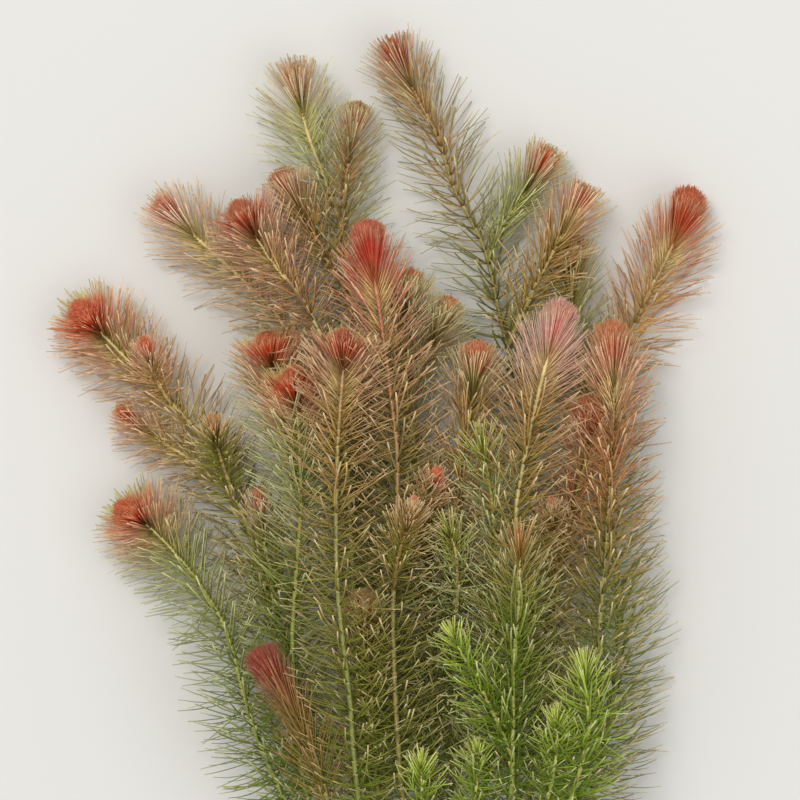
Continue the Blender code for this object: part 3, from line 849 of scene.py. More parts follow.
FAN = Habit(
    front=9.0,
    gaps=((0, 0.7), (3, 1.3), (8, 1.8), (20, 2.2), (45, 2.7)),
    counts=((0, 6), (5, 9), (40, 11)),
    lengths=((0, 0.55), (4, 0.8), (12, 1)),
    angles=((0, 8), (1, 24), (3, 38), (6, 48), (12, 58), (25, 66), (80, 76)),
    bends=((0, 0), (5, -12), (20, -22), (80, -26)),
    half_widths=((0, 0.16), (5, 0.2), (15, 0.23), (40, 0.24)),
    wobble=17.0,
)
CURLY = Habit(
    front=6.0,
    gaps=((0, 0.5), (3, 1), (8, 1.6), (20, 2.1), (45, 2.6)),
    counts=((0, 5), (5, 7), (40, 10)),
    lengths=((0, 0.45), (3, 0.65), (10, 0.95), (50, 1)),
    angles=((0, 10), (1, 30), (3, 50), (6, 64), (12, 74), (30, 78), (80, 80)),
    bends=((0, -6), (5, -28), (20, -38), (60, -32)),
    half_widths=((0, 0.22), (5, 0.28), (15, 0.28), (40, 0.26)),
    wobble=22.0,
)


@dataclass
class Needles:
    """The leaves of one shoot, all grown at once. A leaf is a narrow blade with three sides.

    Args:
        roots: Where each leaf leaves the stem.
        along: The stem's direction there.
        out: The direction straight out from the stem.
        length: Each leaf's length.
        angle: Its angle to the stem at its base, in radians.
        bend: How much it turns away from the stem up to its tip, in radians.
        sway: How much it turns sideways, in radians.
        width: Half of its width.
        ages: Its age, as the finish reads it.
        chance: A number of its own, 0 to 1.
        pale: How much its end is painted pale as a highlight on the side that faces the light, over its own
            pale tip, 0 to 1.
        low: How near the plant's foot it grows, 0 to 1.
        segments: How many straight lengths it has.
        floor: How far over the floor it stays.
        lift: How much it turns towards the shoots' tips, as a share of its length.
        thickness: Its height as a share of half its width.
        end_width: The width of both its ends as a share of its full one.
    """

    roots: np.ndarray
    along: np.ndarray
    out: np.ndarray
    length: np.ndarray
    angle: np.ndarray
    bend: np.ndarray
    sway: np.ndarray
    width: np.ndarray
    ages: np.ndarray
    chance: np.ndarray
    pale: np.ndarray
    low: np.ndarray
    segments: int = 4
    floor: float = 0.3
    lift: float = 0.08
    thickness: float = 0.75
    end_width: float = 0.8

    CORNERS = 3
    STEEPEST_CLIMB = 0.9

    # Each leaf's tile on the map: its shape, and the blade's place on it as shares of its sides
    TILE_HEIGHT = 6
    TILE_ACROSS = (0.12, 0.5, 0.88)
    TILE_FOOT = 0.06
    TILE_LENGTH = 0.88
    CAPS_UP = ((0.06, 0.02, 0.06), (0.94, 0.98, 0.94))

    def picked(self, chosen: np.ndarray, segments: int) -> "Needles":
        """Some of the leaves.

        Args:
            chosen: Which of them.
            segments: How many straight lengths each has.

        Returns:
            Those leaves alone.
        """
        parts = {f.name: getattr(self, f.name) for f in fields(self)}
        parts = {key: value[chosen] for key, value in parts.items() if isinstance(value, np.ndarray)}
        return replace(self, segments=segments, **parts)

    def spines(self) -> tuple[np.ndarray, np.ndarray]:
        """Works out each leaf's line from base to tip.

        Returns:
            The points of the lines, and their directions there.
        """
        place = self.roots.copy()
        places = [place]
        headings = []
        beside = np.cross(self.along, self.out)
        step = self.length / self.segments
        for k in range(self.segments):
            share = (k + 0.5) / self.segments
            turn = (self.angle + self.bend * share)[:, None]
            way = np.cos(turn) * self.along + np.sin(turn) * self.out
            way = unit(way + beside * (self.sway * share)[:, None] + np.array((0.0, self.lift * share, 0.0)))
            drop = (self.floor - place[:, 2]) / step
            low = way[:, 2] < drop
            way = self.laid_flat(way, np.clip(drop, -1.0, self.STEEPEST_CLIMB), low)
            place = place + way * step[:, None]
            places.append(place)
            headings.append(way)
        headings = [headings[0]] + [unit(a + b) for a, b in zip(headings, headings[1:])] + [headings[-1]]
        return np.stack(places, 1), np.stack(headings, 1)

    @staticmethod
    def laid_flat(way: np.ndarray, drop: np.ndarray, low: np.ndarray) -> np.ndarray:
        """Turns the leaves that would pass below the floor along it.

        Args:
            way: Each leaf's direction.
            drop: The steepest fall that keeps it on the floor.
            low: Which leaves would pass below it.

        Returns:
            The directions, of length 1.
        """
        level = way[:, :2] / np.maximum(np.linalg.norm(way[:, :2], axis=1, keepdims=True), 1e-6)
        flat = np.column_stack([level * np.sqrt(1 - drop**2)[:, None], drop])
        return np.where(low[:, None], flat, way)

    def drape(self, skin: Skin, slot: int, strip: Pair) -> None:
        """Adds the leaves to a skin.

        Args:
            skin: What the leaves join.
            slot: Their material slot.
            strip: Where their part of the map's width starts and ends.
        """
        places, headings = self.spines()
        number, rings = places.shape[:2]
        beside = unit(np.cross(self.along, self.out))[:, None]
        beside = unit(beside - headings * (beside * headings).sum(-1, keepdims=True))
        above = np.cross(headings, beside)
        widths = np.r_[self.end_width, np.ones(self.segments - 1), self.end_width]
        half = self.width[:, None, None] * widths[None, :, None]
        rise = half * self.thickness
        points = np.stack([places - beside * half, places + beside * half, places + above * rise], 2)
        share = np.linspace(0, 1, rings)
        ages, chance, pale, near_foot = (
            row[:, None, None] for row in (self.ages, self.chance, self.pale, self.low)
        )
        readings = (ages, share[None, :, None], chance, pale, near_foot)
        values = np.stack([np.broadcast_to(r, (number, rings, self.CORNERS)) for r in readings], -1)
        first = (np.arange(number) * rings * self.CORNERS)[:, None, None]
        ring_starts = first + (np.arange(self.segments) * self.CORNERS)[None, :, None]
        low = ring_starts + np.arange(self.CORNERS)
        turned = ring_starts + np.roll(np.arange(self.CORNERS), -1)
        quads = np.stack([low, turned, turned + self.CORNERS, low + self.CORNERS], -1).reshape(-1, 4)
        foot = first[:, 0] + np.arange(self.CORNERS)
        caps = np.concatenate([foot[:, ::-1], foot + self.segments * self.CORNERS])
        maps, cap_maps = self.map_places(number, share, strip)
        groups = [(quads, maps), (caps, cap_maps)]
        skin.add(points.reshape(-1, 3), values.reshape(-1, len(READINGS)), groups, slot)

    def map_places(self, number: int, share: np.ndarray, strip: Pair) -> tuple[np.ndarray, np.ndarray]:
        """Lays the leaves out on the map, each on a tile of its own.

        Args:
            number: How many leaves there are.
            share: How far along a leaf its rings are.
            strip: Where their part of the map's width starts and ends.

        Returns:
            The places of the corners of the sides, and those of the two caps.
        """
        columns = math.ceil(math.sqrt(self.TILE_HEIGHT * number))
        rows = math.ceil(number / columns)
        room = strip[1] - strip[0]
        left = strip[0] + (np.arange(number) % columns) / columns * room
        base = (np.arange(number) // columns) / rows
        across = np.array(self.TILE_ACROSS) / columns * room
        up = (self.TILE_FOOT + self.TILE_LENGTH * share) / rows
        maps = np.zeros((number, self.segments, self.CORNERS, 4, 2))
        maps[..., (0, 3), 0] = (left[:, None] + across)[:, None, :, None]
        maps[..., (1, 2), 0] = (left[:, None] + np.roll(across, -1))[:, None, :, None]
        maps[..., (0, 1), 1] = (base[:, None] + up[:-1])[:, :, None, None]
        maps[..., (2, 3), 1] = (base[:, None] + up[1:])[:, :, None, None]
        cap_maps = np.zeros((2, number, self.CORNERS, 2))
        cap_maps[0, :, :, 0] = left[:, None] + across[::-1]
        cap_maps[1, :, :, 0] = left[:, None] + across
        cap_maps[..., 1] = base[:, None] + (np.array(self.CAPS_UP) / rows)[:, None]
        return maps, cap_maps


@dataclass
class CreepingStem:
    """One of the leafless stems at the foot that carry the shoots.

    Args:
        name: The node that it replaces.
        points: Its route.
        finish: Its finish.
        radius: Its radius at the end that it grows from.
        joint_gap: Distance from one joint to the next.
    """

    name: str
    points: list[Point]
    finish: StemFinish = GREEN_STEM
    radius: float = 1.25
    joint_gap: float = 6.5

    FIRST_JOINT = 3.0
    BARE_END = 1.0
    THINNER_END = 0.85
    SIDES = 12
    TIP_TAPER = 1.2
    STRIP = (0.02, 0.98)

    def build(self) -> bpy.types.Object:
        """Makes the stem, and puts it in place of its solid.

        Returns:
            The stem's object.
        """
        route = Route(self.points)
        nodes = np.arange(self.FIRST_JOINT, route.length - self.BARE_END, self.joint_gap)
        far_radius = self.radius * self.THINNER_END
        stem = Stem(route, route.length, self.radius, far_radius, nodes, self.SIDES, tip_taper=self.TIP_TAPER)
        skin = Skin()
        stem.drape(skin, 0, self.STRIP)
        piece = skin.build(f"{self.name}_dressed", [self.finish.material()])
        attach(piece, "root")
        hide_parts(self.name)
        return piece


@dataclass
class Shoot:
    """One leafy shoot: its stem and its whorls of needle leaves. Its distances are in millimetres.

    Args:
        name: The node that it replaces.
        slot: The record's slot of its finish; not used.
        share: Its width as a share of the full one.
        points: Its route, from where it forks to the front of its head.
        leaf: The finish of its leaves.
        stem: The finish of its stem.
        side_shoot: Whether it grows from a leafy shoot.
        cream_side: The side that faces the light, on which its pale leaf ends are painted lighter as a
            painted highlight, in degrees from the right.
        spread: A factor on the angle of its leaves.
        density: A factor on the number of its leaves.
        ripening: How fast the colours of its head give way to the older ones.
        parting: How far the leaves part over the stem on the upper side, in degrees.
        tilt: How far its head leans up from the way that the stem goes, in degrees.
        habit: How its leaves grow.
    """

    name: str
    slot: Slot
    share: float
    points: list[Point]
    leaf: LeafFinish
    stem: StemFinish
    side_shoot: bool = False
    cream_side: float = 90.0
    spread: float = 1.0
    density: float = 1.0
    ripening: float = 1.0
    parting: float = 6.0
    tilt: float = 0.0
    habit: Habit = BRUSH

    # Full sizes, and the least share of them on a small shoot
    LEAF_LENGTH = 15.0
    LEAST_SIZE = 0.35
    FOOT_RADIUS = 0.74
    LEAST_FOOT = 0.6
    TIP_RADIUS = 0.46
    KNUCKLES_FROM = 3.0
    ROOT_DEPTH = 0.5

    # Where the leaves begin, over a stretch in which they are fewer and shorter
    LEAF_START_Y = -17.0
    LEAF_RAMP = 14.0
    FORK_BARE = 1.5
    FORK_RAMP = 7.0
    LEAST_OPEN = 0.02
    LEAST_COUNT = 0.5
    LEAST_LENGTH = 0.35

    # The young leaves of the head, the grown ones and the stem, each on its strip of the map
    YOUNG = 8.0
    GROWN_SEGMENTS = 4
    YOUNG_STRIP = (0.0, 0.3)
    GROWN_STRIP = (0.31, 0.94)
    STEM_STRIP = (0.95, 0.99)

    # How far behind the tip the lean, the colours and the spread change, and where the painted highlight on
    # the pale leaf ends shows
    TILT_RANGE = 20.0
    RIPE_RANGE = 40.0
    SPREAD_RANGE = 10.0
    LOW_START = 70.0
    LOW_RANGE = 85.0
    LOW_AGE = 20.0
    CREAM_UNDER = -0.8
    CREAM_RISE = 2.2
    CREAM_FROM = 0.55
    CREAM_STRAY = 0.15

    # How far leaves stray from their whorl's order
    LOOSE_RANGE = 22.0
    LEAST_LOOSE = 0.35
    WHORL_TURN = 0.5
    LEAF_TURN = 0.12
    PLACE_STRAY = 0.03
    BEND_STRAY = 1.2
    LENGTH_STRAY = (0.03, 0.05)
    STRAY_RANGE = 8.0
    LENGTH_LIMITS = (0.75, 1.15)
    WIDTH_LIMITS = (0.9, 1.1)

    # The parting over the stem, from where it opens to where it has closed
    PARTING_RAMP = 4.0
    CLOSING = 0.8
    CLOSING_FROM = 11.0
    CLOSING_RANGE = 14.0

    @property
    def size(self) -> float:
        """The shoot's head and leaves as a share of the full ones."""
        return at_least(self.LEAST_SIZE, self.share)

    def whorls(self, end: float) -> np.ndarray:
        """Sets out the whorls, from the youngest on.

        Args:
            end: The stem's length.

        Returns:
            Their distances behind the stem's tip.
        """
        found = []
        behind = 0.0
        while behind < end:
            found.append(behind)
            behind += float(read_table(self.habit.gaps, behind / self.size)) / self.density
        return np.array(found)

    def openness(self, route: Route, s: np.ndarray) -> np.ndarray:
        """Works out how fully the leaves are grown.

        Args:
            route: The shoot's curve.
            s: Distances along it.

        Returns:
            The share at each, 0 on the bare foot and 1 above it.
        """
        if self.side_shoot:
            return np.clip((s - self.FORK_BARE) / (self.FORK_RAMP * self.share), 0, 1)
        return np.clip((route.at(s)[:, 1] - self.LEAF_START_Y) / self.LEAF_RAMP, 0, 1)

    def grow(self, seed: int) -> bpy.types.Object:
        """Makes the shoot, and puts it in place of its solid.

        Args:
            seed: What its random numbers start from.

        Returns:
            The shoot's object.
        """
        dice = np.random.default_rng(seed)
        route = Route(self.points)
        end = route.length - self.habit.front * self.size
        behind = self.whorls(end)
        stations = end - behind
        open_share = self.openness(route, stations)
        leafy = open_share > self.LEAST_OPEN
        radius = self.FOOT_RADIUS * at_least(self.LEAST_FOOT, self.share)
        knuckles = stations[leafy & (behind > self.KNUCKLES_FROM)]
        stem = Stem(route, end, radius, self.TIP_RADIUS * self.size, knuckles)
        needles = self.needles(dice, route, stem, behind[leafy], stations[leafy], open_share[leafy])
        skin = Skin()
        young = needles.ages < age_of(np.array(self.YOUNG * self.ripening))
        needles.picked(young, 1).drape(skin, 0, self.YOUNG_STRIP)
        needles.picked(~young, self.GROWN_SEGMENTS).drape(skin, 0, self.GROWN_STRIP)
        stem.drape(skin, 1, self.STEM_STRIP)
        piece = skin.build(f"{self.name}_dressed", [self.leaf.material(), self.stem.material()])
        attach(piece, "root")
        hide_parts(self.name)
        LOG.info("%s: %d leaves in %d whorls", self.name, len(needles.length), int(leafy.sum()))
        return piece

    def needles(self, dice: np.random.Generator, route: Route, stem: Stem, behind: np.ndarray,
                stations: np.ndarray, open_share: np.ndarray) -> Needles:
        """Sets out every leaf of every whorl.

        Args:
            dice: The shoot's random numbers.
            route: Its curve.
            stem: Its stem.
            behind: The whorls' distances behind the tip.
            stations: Their distances along the route.
            open_share: How fully their leaves are grown.

        Returns:
            The leaves.
        """
        habit = self.habit
        full = read_table(habit.counts, behind / self.size)
        counts = np.round(full * at_least(self.LEAST_COUNT, open_share)).astype(int)
        whorl = np.repeat(np.arange(len(behind)), counts)
        number = len(whorl)
        rank = np.arange(number) - np.repeat(np.cumsum(counts) - counts, counts)
        d = behind[whorl] / self.size
        loose = at_least(self.LEAST_LOOSE, eased(d / self.LOOSE_RANGE)) * habit.wobble
        turn = 2 * math.pi * (rank + 0.5 * (whorl % 2)) / counts[whorl]
        turn += dice.uniform(0, self.WHORL_TURN, len(behind))[whorl] + dice.normal(0, self.LEAF_TURN, number)
        turn = self.off_the_stem(turn, d)
        s = np.minimum(stations[whorl] + dice.normal(0, self.PLACE_STRAY, number) * loose, stem.end)
        along = route.heading(s)
        side = unit(np.cross(along, UPRIGHT))
        lean = np.radians(self.tilt) * (1 - eased(d / self.TILT_RANGE))[:, None]
        along = np.cos(lean) * along + np.sin(lean) * np.cross(side, along)
        out = np.cos(turn)[:, None] * side + np.sin(turn)[:, None] * np.cross(side, along)
        roots = route.at(s) + out * (stem.radius(s) * self.ROOT_DEPTH)[:, None]
        length = self.LEAF_LENGTH * self.size * read_table(habit.lengths, d)
        young_stray, older_stray = self.LENGTH_STRAY
        stray = young_stray + older_stray * eased(d / self.STRAY_RANGE)
        chance_length = np.clip(1 + dice.normal(0, 1, number) * stray, *self.LENGTH_LIMITS)
        length *= at_least(self.LEAST_LENGTH, open_share[whorl]) * chance_length
        wide = 1 + (self.spread - 1) * eased(d / self.SPREAD_RANGE)
        angle = np.radians(read_table(habit.angles, d) * wide + dice.normal(0, 1, number) * loose)
        bend = np.radians(read_table(habit.bends, d) + dice.normal(0, self.BEND_STRAY, number) * loose)
        sway = np.radians(dice.normal(0, self.BEND_STRAY, number) * loose)
        width = read_table(habit.half_widths, d) * dice.uniform(*self.WIDTH_LIMITS, number)
        # Painted highlight: the ends of leaves that point towards the lit side are painted pale, over their
        # own pale tips.
        lit = np.radians(self.cream_side)
        way = np.cos(angle)[:, None] * along + np.sin(angle)[:, None] * out
        toward = way @ np.array((math.cos(lit), math.sin(lit), self.CREAM_UNDER))
        cream = self.CREAM_RISE * (toward - self.CREAM_FROM)
        pale = np.clip(cream + dice.normal(0, self.CREAM_STRAY, number), 0, 1)
        low = np.clip((self.LOW_START - roots[:, 1]) / self.LOW_RANGE, 0, 1) * eased(d / self.LOW_AGE)
        ripe = 1 + (self.ripening - 1) * (1 - eased(d / self.RIPE_RANGE))
        return Needles(
            roots=roots, along=along, out=out, length=length, angle=angle, bend=bend, sway=sway, width=width,
            ages=age_of(d * ripe), chance=dice.uniform(0, 1, number), pale=pale, low=low,
        )

    def off_the_stem(self, turn: np.ndarray, behind: np.ndarray) -> np.ndarray:
        """Turns the older leaves on the upper side a little sideways, so that the stem shows between them.

        Args:
            turn: The leaves' turns round the stem, in radians.
            behind: Their distances behind the tip.

        Returns:
            The new turns.
        """
        from_top = (turn - math.pi / 2 + math.pi) % (2 * math.pi) - math.pi
        near = np.clip(1 - np.abs(from_top) / (math.pi / 2), 0, 1)
        push = math.radians(self.parting) * near * eased((behind - self.habit.parts_from) / self.PARTING_RAMP)
        push *= 1 - self.CLOSING * eased((behind - self.CLOSING_FROM) / self.CLOSING_RANGE)
        return from_top + np.sign(from_top) * push + math.pi / 2


CREEPING_STEMS = [
    CreepingStem("creeping_stem",
                 [(-20, -25, 7), (-8, -27, 10.5), (8, -27.5, 11.5), (26, -27, 11), (42, -25, 8)]),
    CreepingStem("rising_runner",
                 [(3, -27.5, 11.5), (0, -31, 22), (5, -29, 35), (20, -27.5, 42), (39, -25, 40)]),
    CreepingStem("left_runner", [(3.5, -29.7, 32), (-5, -28, 38), (-17, -25, 35)]),
]

SHOOTS = [
    Shoot("rear_left_tall_shoot", Slot.RED, 1.0,
          [(7, -27.5, 11.5), (8.5, -4, 9), (5, 34, 9), (-3, 75, 9), (-9, 115, 9), (-11.5, 135, 9),
           (-16, 149, 8.5), (-21, 163, 8.5), (-24, 181.5, 8.5)],
          SAND_ON_GREEN, YELLOW_STEM, spread=1.14, density=0.9, ripening=1.2, parting=50, tilt=25,
          habit=OPEN),
    Shoot("rear_left_side_shoot", Slot.RED, 0.75,
          [(-11, 131, 9), (-11.2, 144, 12), (-10, 153, 13), (-8.5, 162, 11), (-6.5, 169.5, 9.5)],
          RUST_ON_MOSS, TAN_STEM, side_shoot=True, density=0.8, ripening=2.2, parting=14, tilt=24),
    Shoot("rear_left_small_shoot", Slot.RED, 0.8,
          [(-8.7, 113, 9), (-12.5, 124, 13), (-18, 134, 15), (-23, 142.5, 13), (-28.5, 152, 9.5)],
          RUST_ON_TAN, TAN_STEM, side_shoot=True, ripening=2.2, parting=14, tilt=24, habit=TANGLED),
    Shoot("rear_middle_tall_shoot", Slot.RED, 1.0,
          [(30, -26.6, 10.5), (36.5, -4, 9), (37, 40, 9), (35, 84, 9), (28.5, 113, 9), (24, 132, 9),
           (16.5, 147, 9), (12.5, 159.5, 9), (6, 172, 8.5), (-1, 186.5, 8.5)],
          RUST_ON_MOSS, TAN_STEM, cream_side=30, density=0.85, ripening=1.3, parting=14, tilt=15,
          habit=OPEN),
    Shoot("rear_middle_side_shoot", Slot.CREAM, 0.85,
          [(25.2, 127.5, 9), (28, 136, 10), (31, 140.5, 10), (35, 146, 9.5), (42.5, 158.5, 9)],
          CREAM_ON_GREEN, GREEN_STEM, side_shoot=True, cream_side=20, spread=0.85, ripening=1.8, parting=14,
          tilt=20, habit=OPEN),
    Shoot("rear_right_side_shoot", Slot.CREAM, 0.85,
          [(30.5, 107, 9), (34, 116, 15), (38.5, 125, 17), (43, 133.5, 17), (47, 141, 14),
           (50.5, 148.5, 11)],
          CREAM_ON_TAN, YELLOW_STEM, side_shoot=True, cream_side=20, spread=0.9, ripening=1.6, parting=14,
          tilt=18, habit=OPEN),
    Shoot("right_outer_shoot", Slot.RED, 1.0,
          [(40, -25.3, 8.4), (52, -4, 9), (58, 28, 9), (57.5, 48, 9), (54.5, 70, 9), (53, 88, 9),
           (56, 102, 9), (62, 112, 9), (66.5, 121.5, 8.5), (72, 133, 8.5), (77, 147.5, 8.5)],
          BRICK_ON_RIM, TAN_STEM, cream_side=30, density=1.15, ripening=0.55, parting=40, tilt=14,
          habit=FLAME),
    Shoot("right_hidden_shoot", Slot.OLIVE, 0.85,
          [(53.1, 86, 9), (50, 97, 8.5), (47.3, 106, 8.5), (46.2, 116, 8.5), (46, 128, 8), (46.5, 137, 8)],
          OLIVE_ON_GREEN, GREEN_STEM, side_shoot=True, tilt=15),
    Shoot("left_upper_shoot", Slot.RED, 1.0,
          [(-1, -27.3, 11), (-3, 0, 9), (-5, 34, 9), (-9, 64, 9), (-15, 89, 9), (-22.5, 106, 9),
           (-31, 118, 8.5), (-47, 133, 8.5), (-60.5, 146, 8.5)],
          BLUSH_ON_PALE, YELLOW_STEM, cream_side=120, density=0.95, ripening=1.6, parting=50, tilt=24,
          habit=OPEN),
    Shoot("left_broad_shoot", Slot.RED, 1.0,
          [(-5, -27.2, 10.8), (-6.5, 0, 20), (-8, 30, 22), (-9, 53, 23), (-10.8, 81, 24), (-14, 101, 24),
           (-20.5, 117, 22), (-29.5, 128.5, 19), (-39.8, 145.3, 14)],
          RUST_ON_ROSY, YELLOW_STEM, cream_side=100, spread=1.1, ripening=0.75, parting=14, tilt=32,
          habit=DOME),
    Shoot("centre_red_shoot", Slot.RED, 1.0,
          [(7.5, -28.6, 37), (3.5, -4, 40), (1.3, 35.8, 40), (2, 60, 40), (2.3, 80, 39), (1, 92, 38),
           (-2, 115, 34), (-3.5, 124, 32), (-5.5, 138.3, 28)],
          FLAME_ON_ROSY, ROSY_STEM, ripening=0.5, parting=40, tilt=12, habit=FLAME),
    Shoot("centre_small_side_shoot", Slot.RED, 0.5,
          [(1.5, 46, 40), (2.5, 54, 46), (5, 62.5, 51), (7, 70.5, 53)],
          SALMON_ON_TAN, TAN_STEM, side_shoot=True, ripening=5.0, tilt=22, habit=SPARK),
    Shoot("centre_orange_shoot", Slot.RED, 0.9,
          [(12, -27.5, 11.5), (11.5, -4, 20), (10.5, 43, 23), (9.3, 68, 24), (5, 91, 24), (3.5, 104, 24),
           (5, 118, 22), (6, 127.8, 20)],
          SALMON_ON_MOSS, GREEN_STEM, density=1.2, ripening=3.0, tilt=35, habit=TANGLED),
    Shoot("centre_dark_side_shoot", Slot.OLIVE, 0.85,
          [(4.6, 93, 24), (9, 103.5, 24), (13, 112, 22), (15.5, 120.8, 20)],
          SALMON_ON_MOSS, YELLOW_STEM, side_shoot=True, ripening=3.4, parting=50, tilt=35, habit=TANGLED),
    Shoot("centre_red_bud", Slot.RED, 0.5,
          [(10, 50, 23.3), (9.3, 58, 28), (10, 67, 34), (13, 77.8, 40)],
          BRICK_ON_TAN, TAN_STEM, side_shoot=True, ripening=1.3, tilt=22, habit=SPARK),
    Shoot("pink_headed_shoot", Slot.PINK, 1.0,
          [(28, -26.6, 41.6), (32, -4, 42), (32.3, 29.5, 42), (31.8, 65, 40), (34.3, 80.5, 38),
           (38.5, 99, 34), (41.5, 110, 32), (42.5, 118.8, 30)],
          ROSE_ON_TAN, YELLOW_STEM, density=1.1, ripening=0.8, parting=44, tilt=10, habit=FLAME),
    Shoot("right_red_shoot", Slot.RED, 1.0,
          [(37.5, -25.3, 40.3), (48, -4, 42), (51.8, 29.5, 42), (54, 55, 40), (55.5, 77, 37),
           (56.3, 91, 34), (56, 105, 31), (55, 113.3, 29)],
          BRICK_ON_RUST, TAN_STEM, density=1.2, ripening=0.8, parting=12, tilt=14, habit=WILD_FLAME),
    Shoot("right_red_side_shoot", Slot.RED, 0.8,
          [(35, -26, 9.6), (41.5, -4, 20), (41.3, 21, 24), (42, 43, 25), (45.5, 64.5, 26), (49, 77, 27),
           (50, 86, 28), (48.8, 95.8, 28)],
          BRICK_ON_RUST, GREEN_STEM, density=1.2, parting=14, tilt=18, habit=TANGLED),
    Shoot("right_orange_bud", Slot.RED, 0.5,
          [(42.3, 48, 25.1), (41.5, 58, 30), (41, 64.5, 33), (40.5, 70.5, 34)],
          SALMON_ON_TAN, TAN_STEM, side_shoot=True, ripening=3.5, tilt=22, habit=SPARK),
    Shoot("left_reaching_shoot", Slot.CREAM, 1.05,
          [(-14, -26, 9), (-22, -2, 9), (-26, 22, 9), (-30, 40, 9), (-35, 60, 9), (-41, 73.5, 9),
           (-47.3, 84.3, 9), (-58, 95.8, 9), (-67.3, 105, 8.5), (-76.8, 115, 8.5), (-81, 120.8, 8.5)],
          CREAM_ON_GOLD, YELLOW_STEM, cream_side=120, density=1.15, ripening=0.75, parting=20, tilt=36,
          habit=DOME),
    Shoot("left_reaching_bud", Slot.RED, 0.5,
          [(-54.5, 92, 9), (-58, 98, 15), (-60, 104, 17), (-62, 110, 17)],
          BRICK_ON_ROSY, YELLOW_STEM, side_shoot=True, ripening=2.4, tilt=25, habit=BUD),
    Shoot("left_reaching_side_shoot", Slot.RED, 0.7,
          [(-40, 71.5, 9), (-47.6, 76.3, 8.5), (-51, 79, 8.5), (-56.8, 82.5, 8.5), (-62.3, 86, 8.5),
           (-68.5, 92.5, 8.5)],
          CREAM_ON_GOLD, YELLOW_STEM, side_shoot=True, cream_side=130, ripening=2.0, parting=24, tilt=20,
          habit=BUD),
    Shoot("left_tan_bud", Slot.OLIVE, 0.55,
          [(-38.5, 68, 9), (-41.5, 77, 16), (-43.3, 84, 20), (-43.5, 91, 20)],
          OLIVE_LEAF, YELLOW_STEM, side_shoot=True, ripening=2.4, tilt=25, habit=BUD),
    Shoot("left_inner_bud", Slot.RED, 0.65,
          [(-28.5, 33, 9), (-29, 45, 15), (-31, 58, 20), (-32.5, 72.5, 22)],
          RUST_ON_OLIVE, GREEN_STEM, side_shoot=True, ripening=1.5, tilt=22, habit=SPARK),
    Shoot("left_low_shoot", Slot.CREAM, 1.0,
          [(-16, -25.3, 35.4), (-26, -6, 28), (-34.5, 13.5, 23), (-41, 36, 17), (-49.8, 50, 12),
           (-60, 61, 9), (-71.5, 68.5, 8.5)],
          CREAM_ON_GREEN, GREEN_STEM, cream_side=130, spread=1.16, density=1.3, ripening=0.95, parting=18,
          tilt=36, habit=DOME),
    Shoot("front_left_low_shoot", Slot.RED, 0.85,
          [(-12, -26.2, 37), (-15, -6, 42), (-20.5, 10.3, 43), (-26.5, 21.5, 42), (-33, 32, 40)],
          PINK_RED_ON_EMBER, TAN_STEM, ripening=0.5, habit=PAINTBRUSH),
    Shoot("left_middle_shoot", Slot.CREAM, 0.95,
          [(-8, -27, 38), (-20, -6, 30), (-23.8, 28, 28), (-23, 48.5, 29), (-21.8, 66, 30), (-22.5, 88, 29),
           (-24.3, 104.5, 26)],
          CREAM_ON_GREEN, GREEN_STEM, cream_side=110, ripening=0.65, parting=26, tilt=34, habit=DOME),
    Shoot("left_middle_side_shoot", Slot.CREAM, 0.9,
          [(-21.8, 64, 30), (-25, 84, 27), (-28.5, 100, 22), (-31.5, 112.8, 18)],
          CREAM_ON_GREEN, DARK_STEM, side_shoot=True, cream_side=110, density=1.15, ripening=0.65,
          parting=34, tilt=34, habit=DOME),
    Shoot("centre_front_shoot", Slot.CREAM, 1.0,
          [(-2.5, -28.6, 37), (-7.5, -4, 44), (-9.5, 20, 46), (-12.5, 48, 46), (-12.5, 80, 43),
           (-11, 104, 39), (-11.3, 113.8, 37)],
          CREAM_ON_RUST, TAN_STEM, cream_side=70, density=0.8, ripening=0.8, parting=30, tilt=30,
          habit=DOME),
    Shoot("front_brown_side_shoot", Slot.OLIVE, 0.75,
          [(4, -29.4, 33.5), (-2.5, -4, 34), (-4, 18, 34), (-5.5, 34, 34), (-6.5, 47.8, 34)],
          OLIVE_LEAF, TAN_STEM, tilt=15, habit=TANGLED),
    Shoot("middle_orange_shoot", Slot.RED, 0.9,
          [(17, -27.4, 11.3), (17, -4, 24), (16.8, 33, 28), (17, 49, 30), (17.8, 72, 30), (20.5, 90, 28),
           (21.8, 100, 26), (21.5, 109.5, 24)],
          SALMON_ON_TAN, YELLOW_STEM, density=1.2, ripening=1.5, parting=18, tilt=35, habit=TANGLED),
    Shoot("middle_cream_side_shoot", Slot.CREAM, 0.6,
          [(16.9, 36, 28.4), (17.3, 47, 36), (16.5, 57, 43), (12.3, 66.3, 46)],
          CREAM_GREEN_LEAF, YELLOW_STEM, side_shoot=True, tilt=20, habit=FAN),
    Shoot("middle_cream_shoot", Slot.CREAM, 0.8,
          [(20, -27.5, 42), (24, -4, 38), (26, 23, 36), (26.5, 48, 36), (25.8, 68, 37), (23.5, 81, 39),
           (22, 89.5, 39)],
          CREAM_GREEN_LEAF, GREEN_STEM, tilt=25, habit=FAN),
    Shoot("front_green_shoot", Slot.GREEN, 0.95,
          [(24, -27.1, 42), (30, -8, 51), (31, 28, 55), (32.3, 45, 54), (32.5, 65, 53)],
          DEEP_GREEN_LEAF, GREEN_STEM, tilt=15, habit=FAN),
    Shoot("front_small_green_bud", Slot.GREEN, 0.55,
          [(30.8, 5, 53), (26, 16, 55), (21, 26, 56), (17, 33, 55), (14.5, 38.8, 54)],
          LIME_LEAF, GREEN_STEM, side_shoot=True, tilt=15, habit=CURLY),
    Shoot("front_right_green_shoot", Slot.GREEN, 0.85,
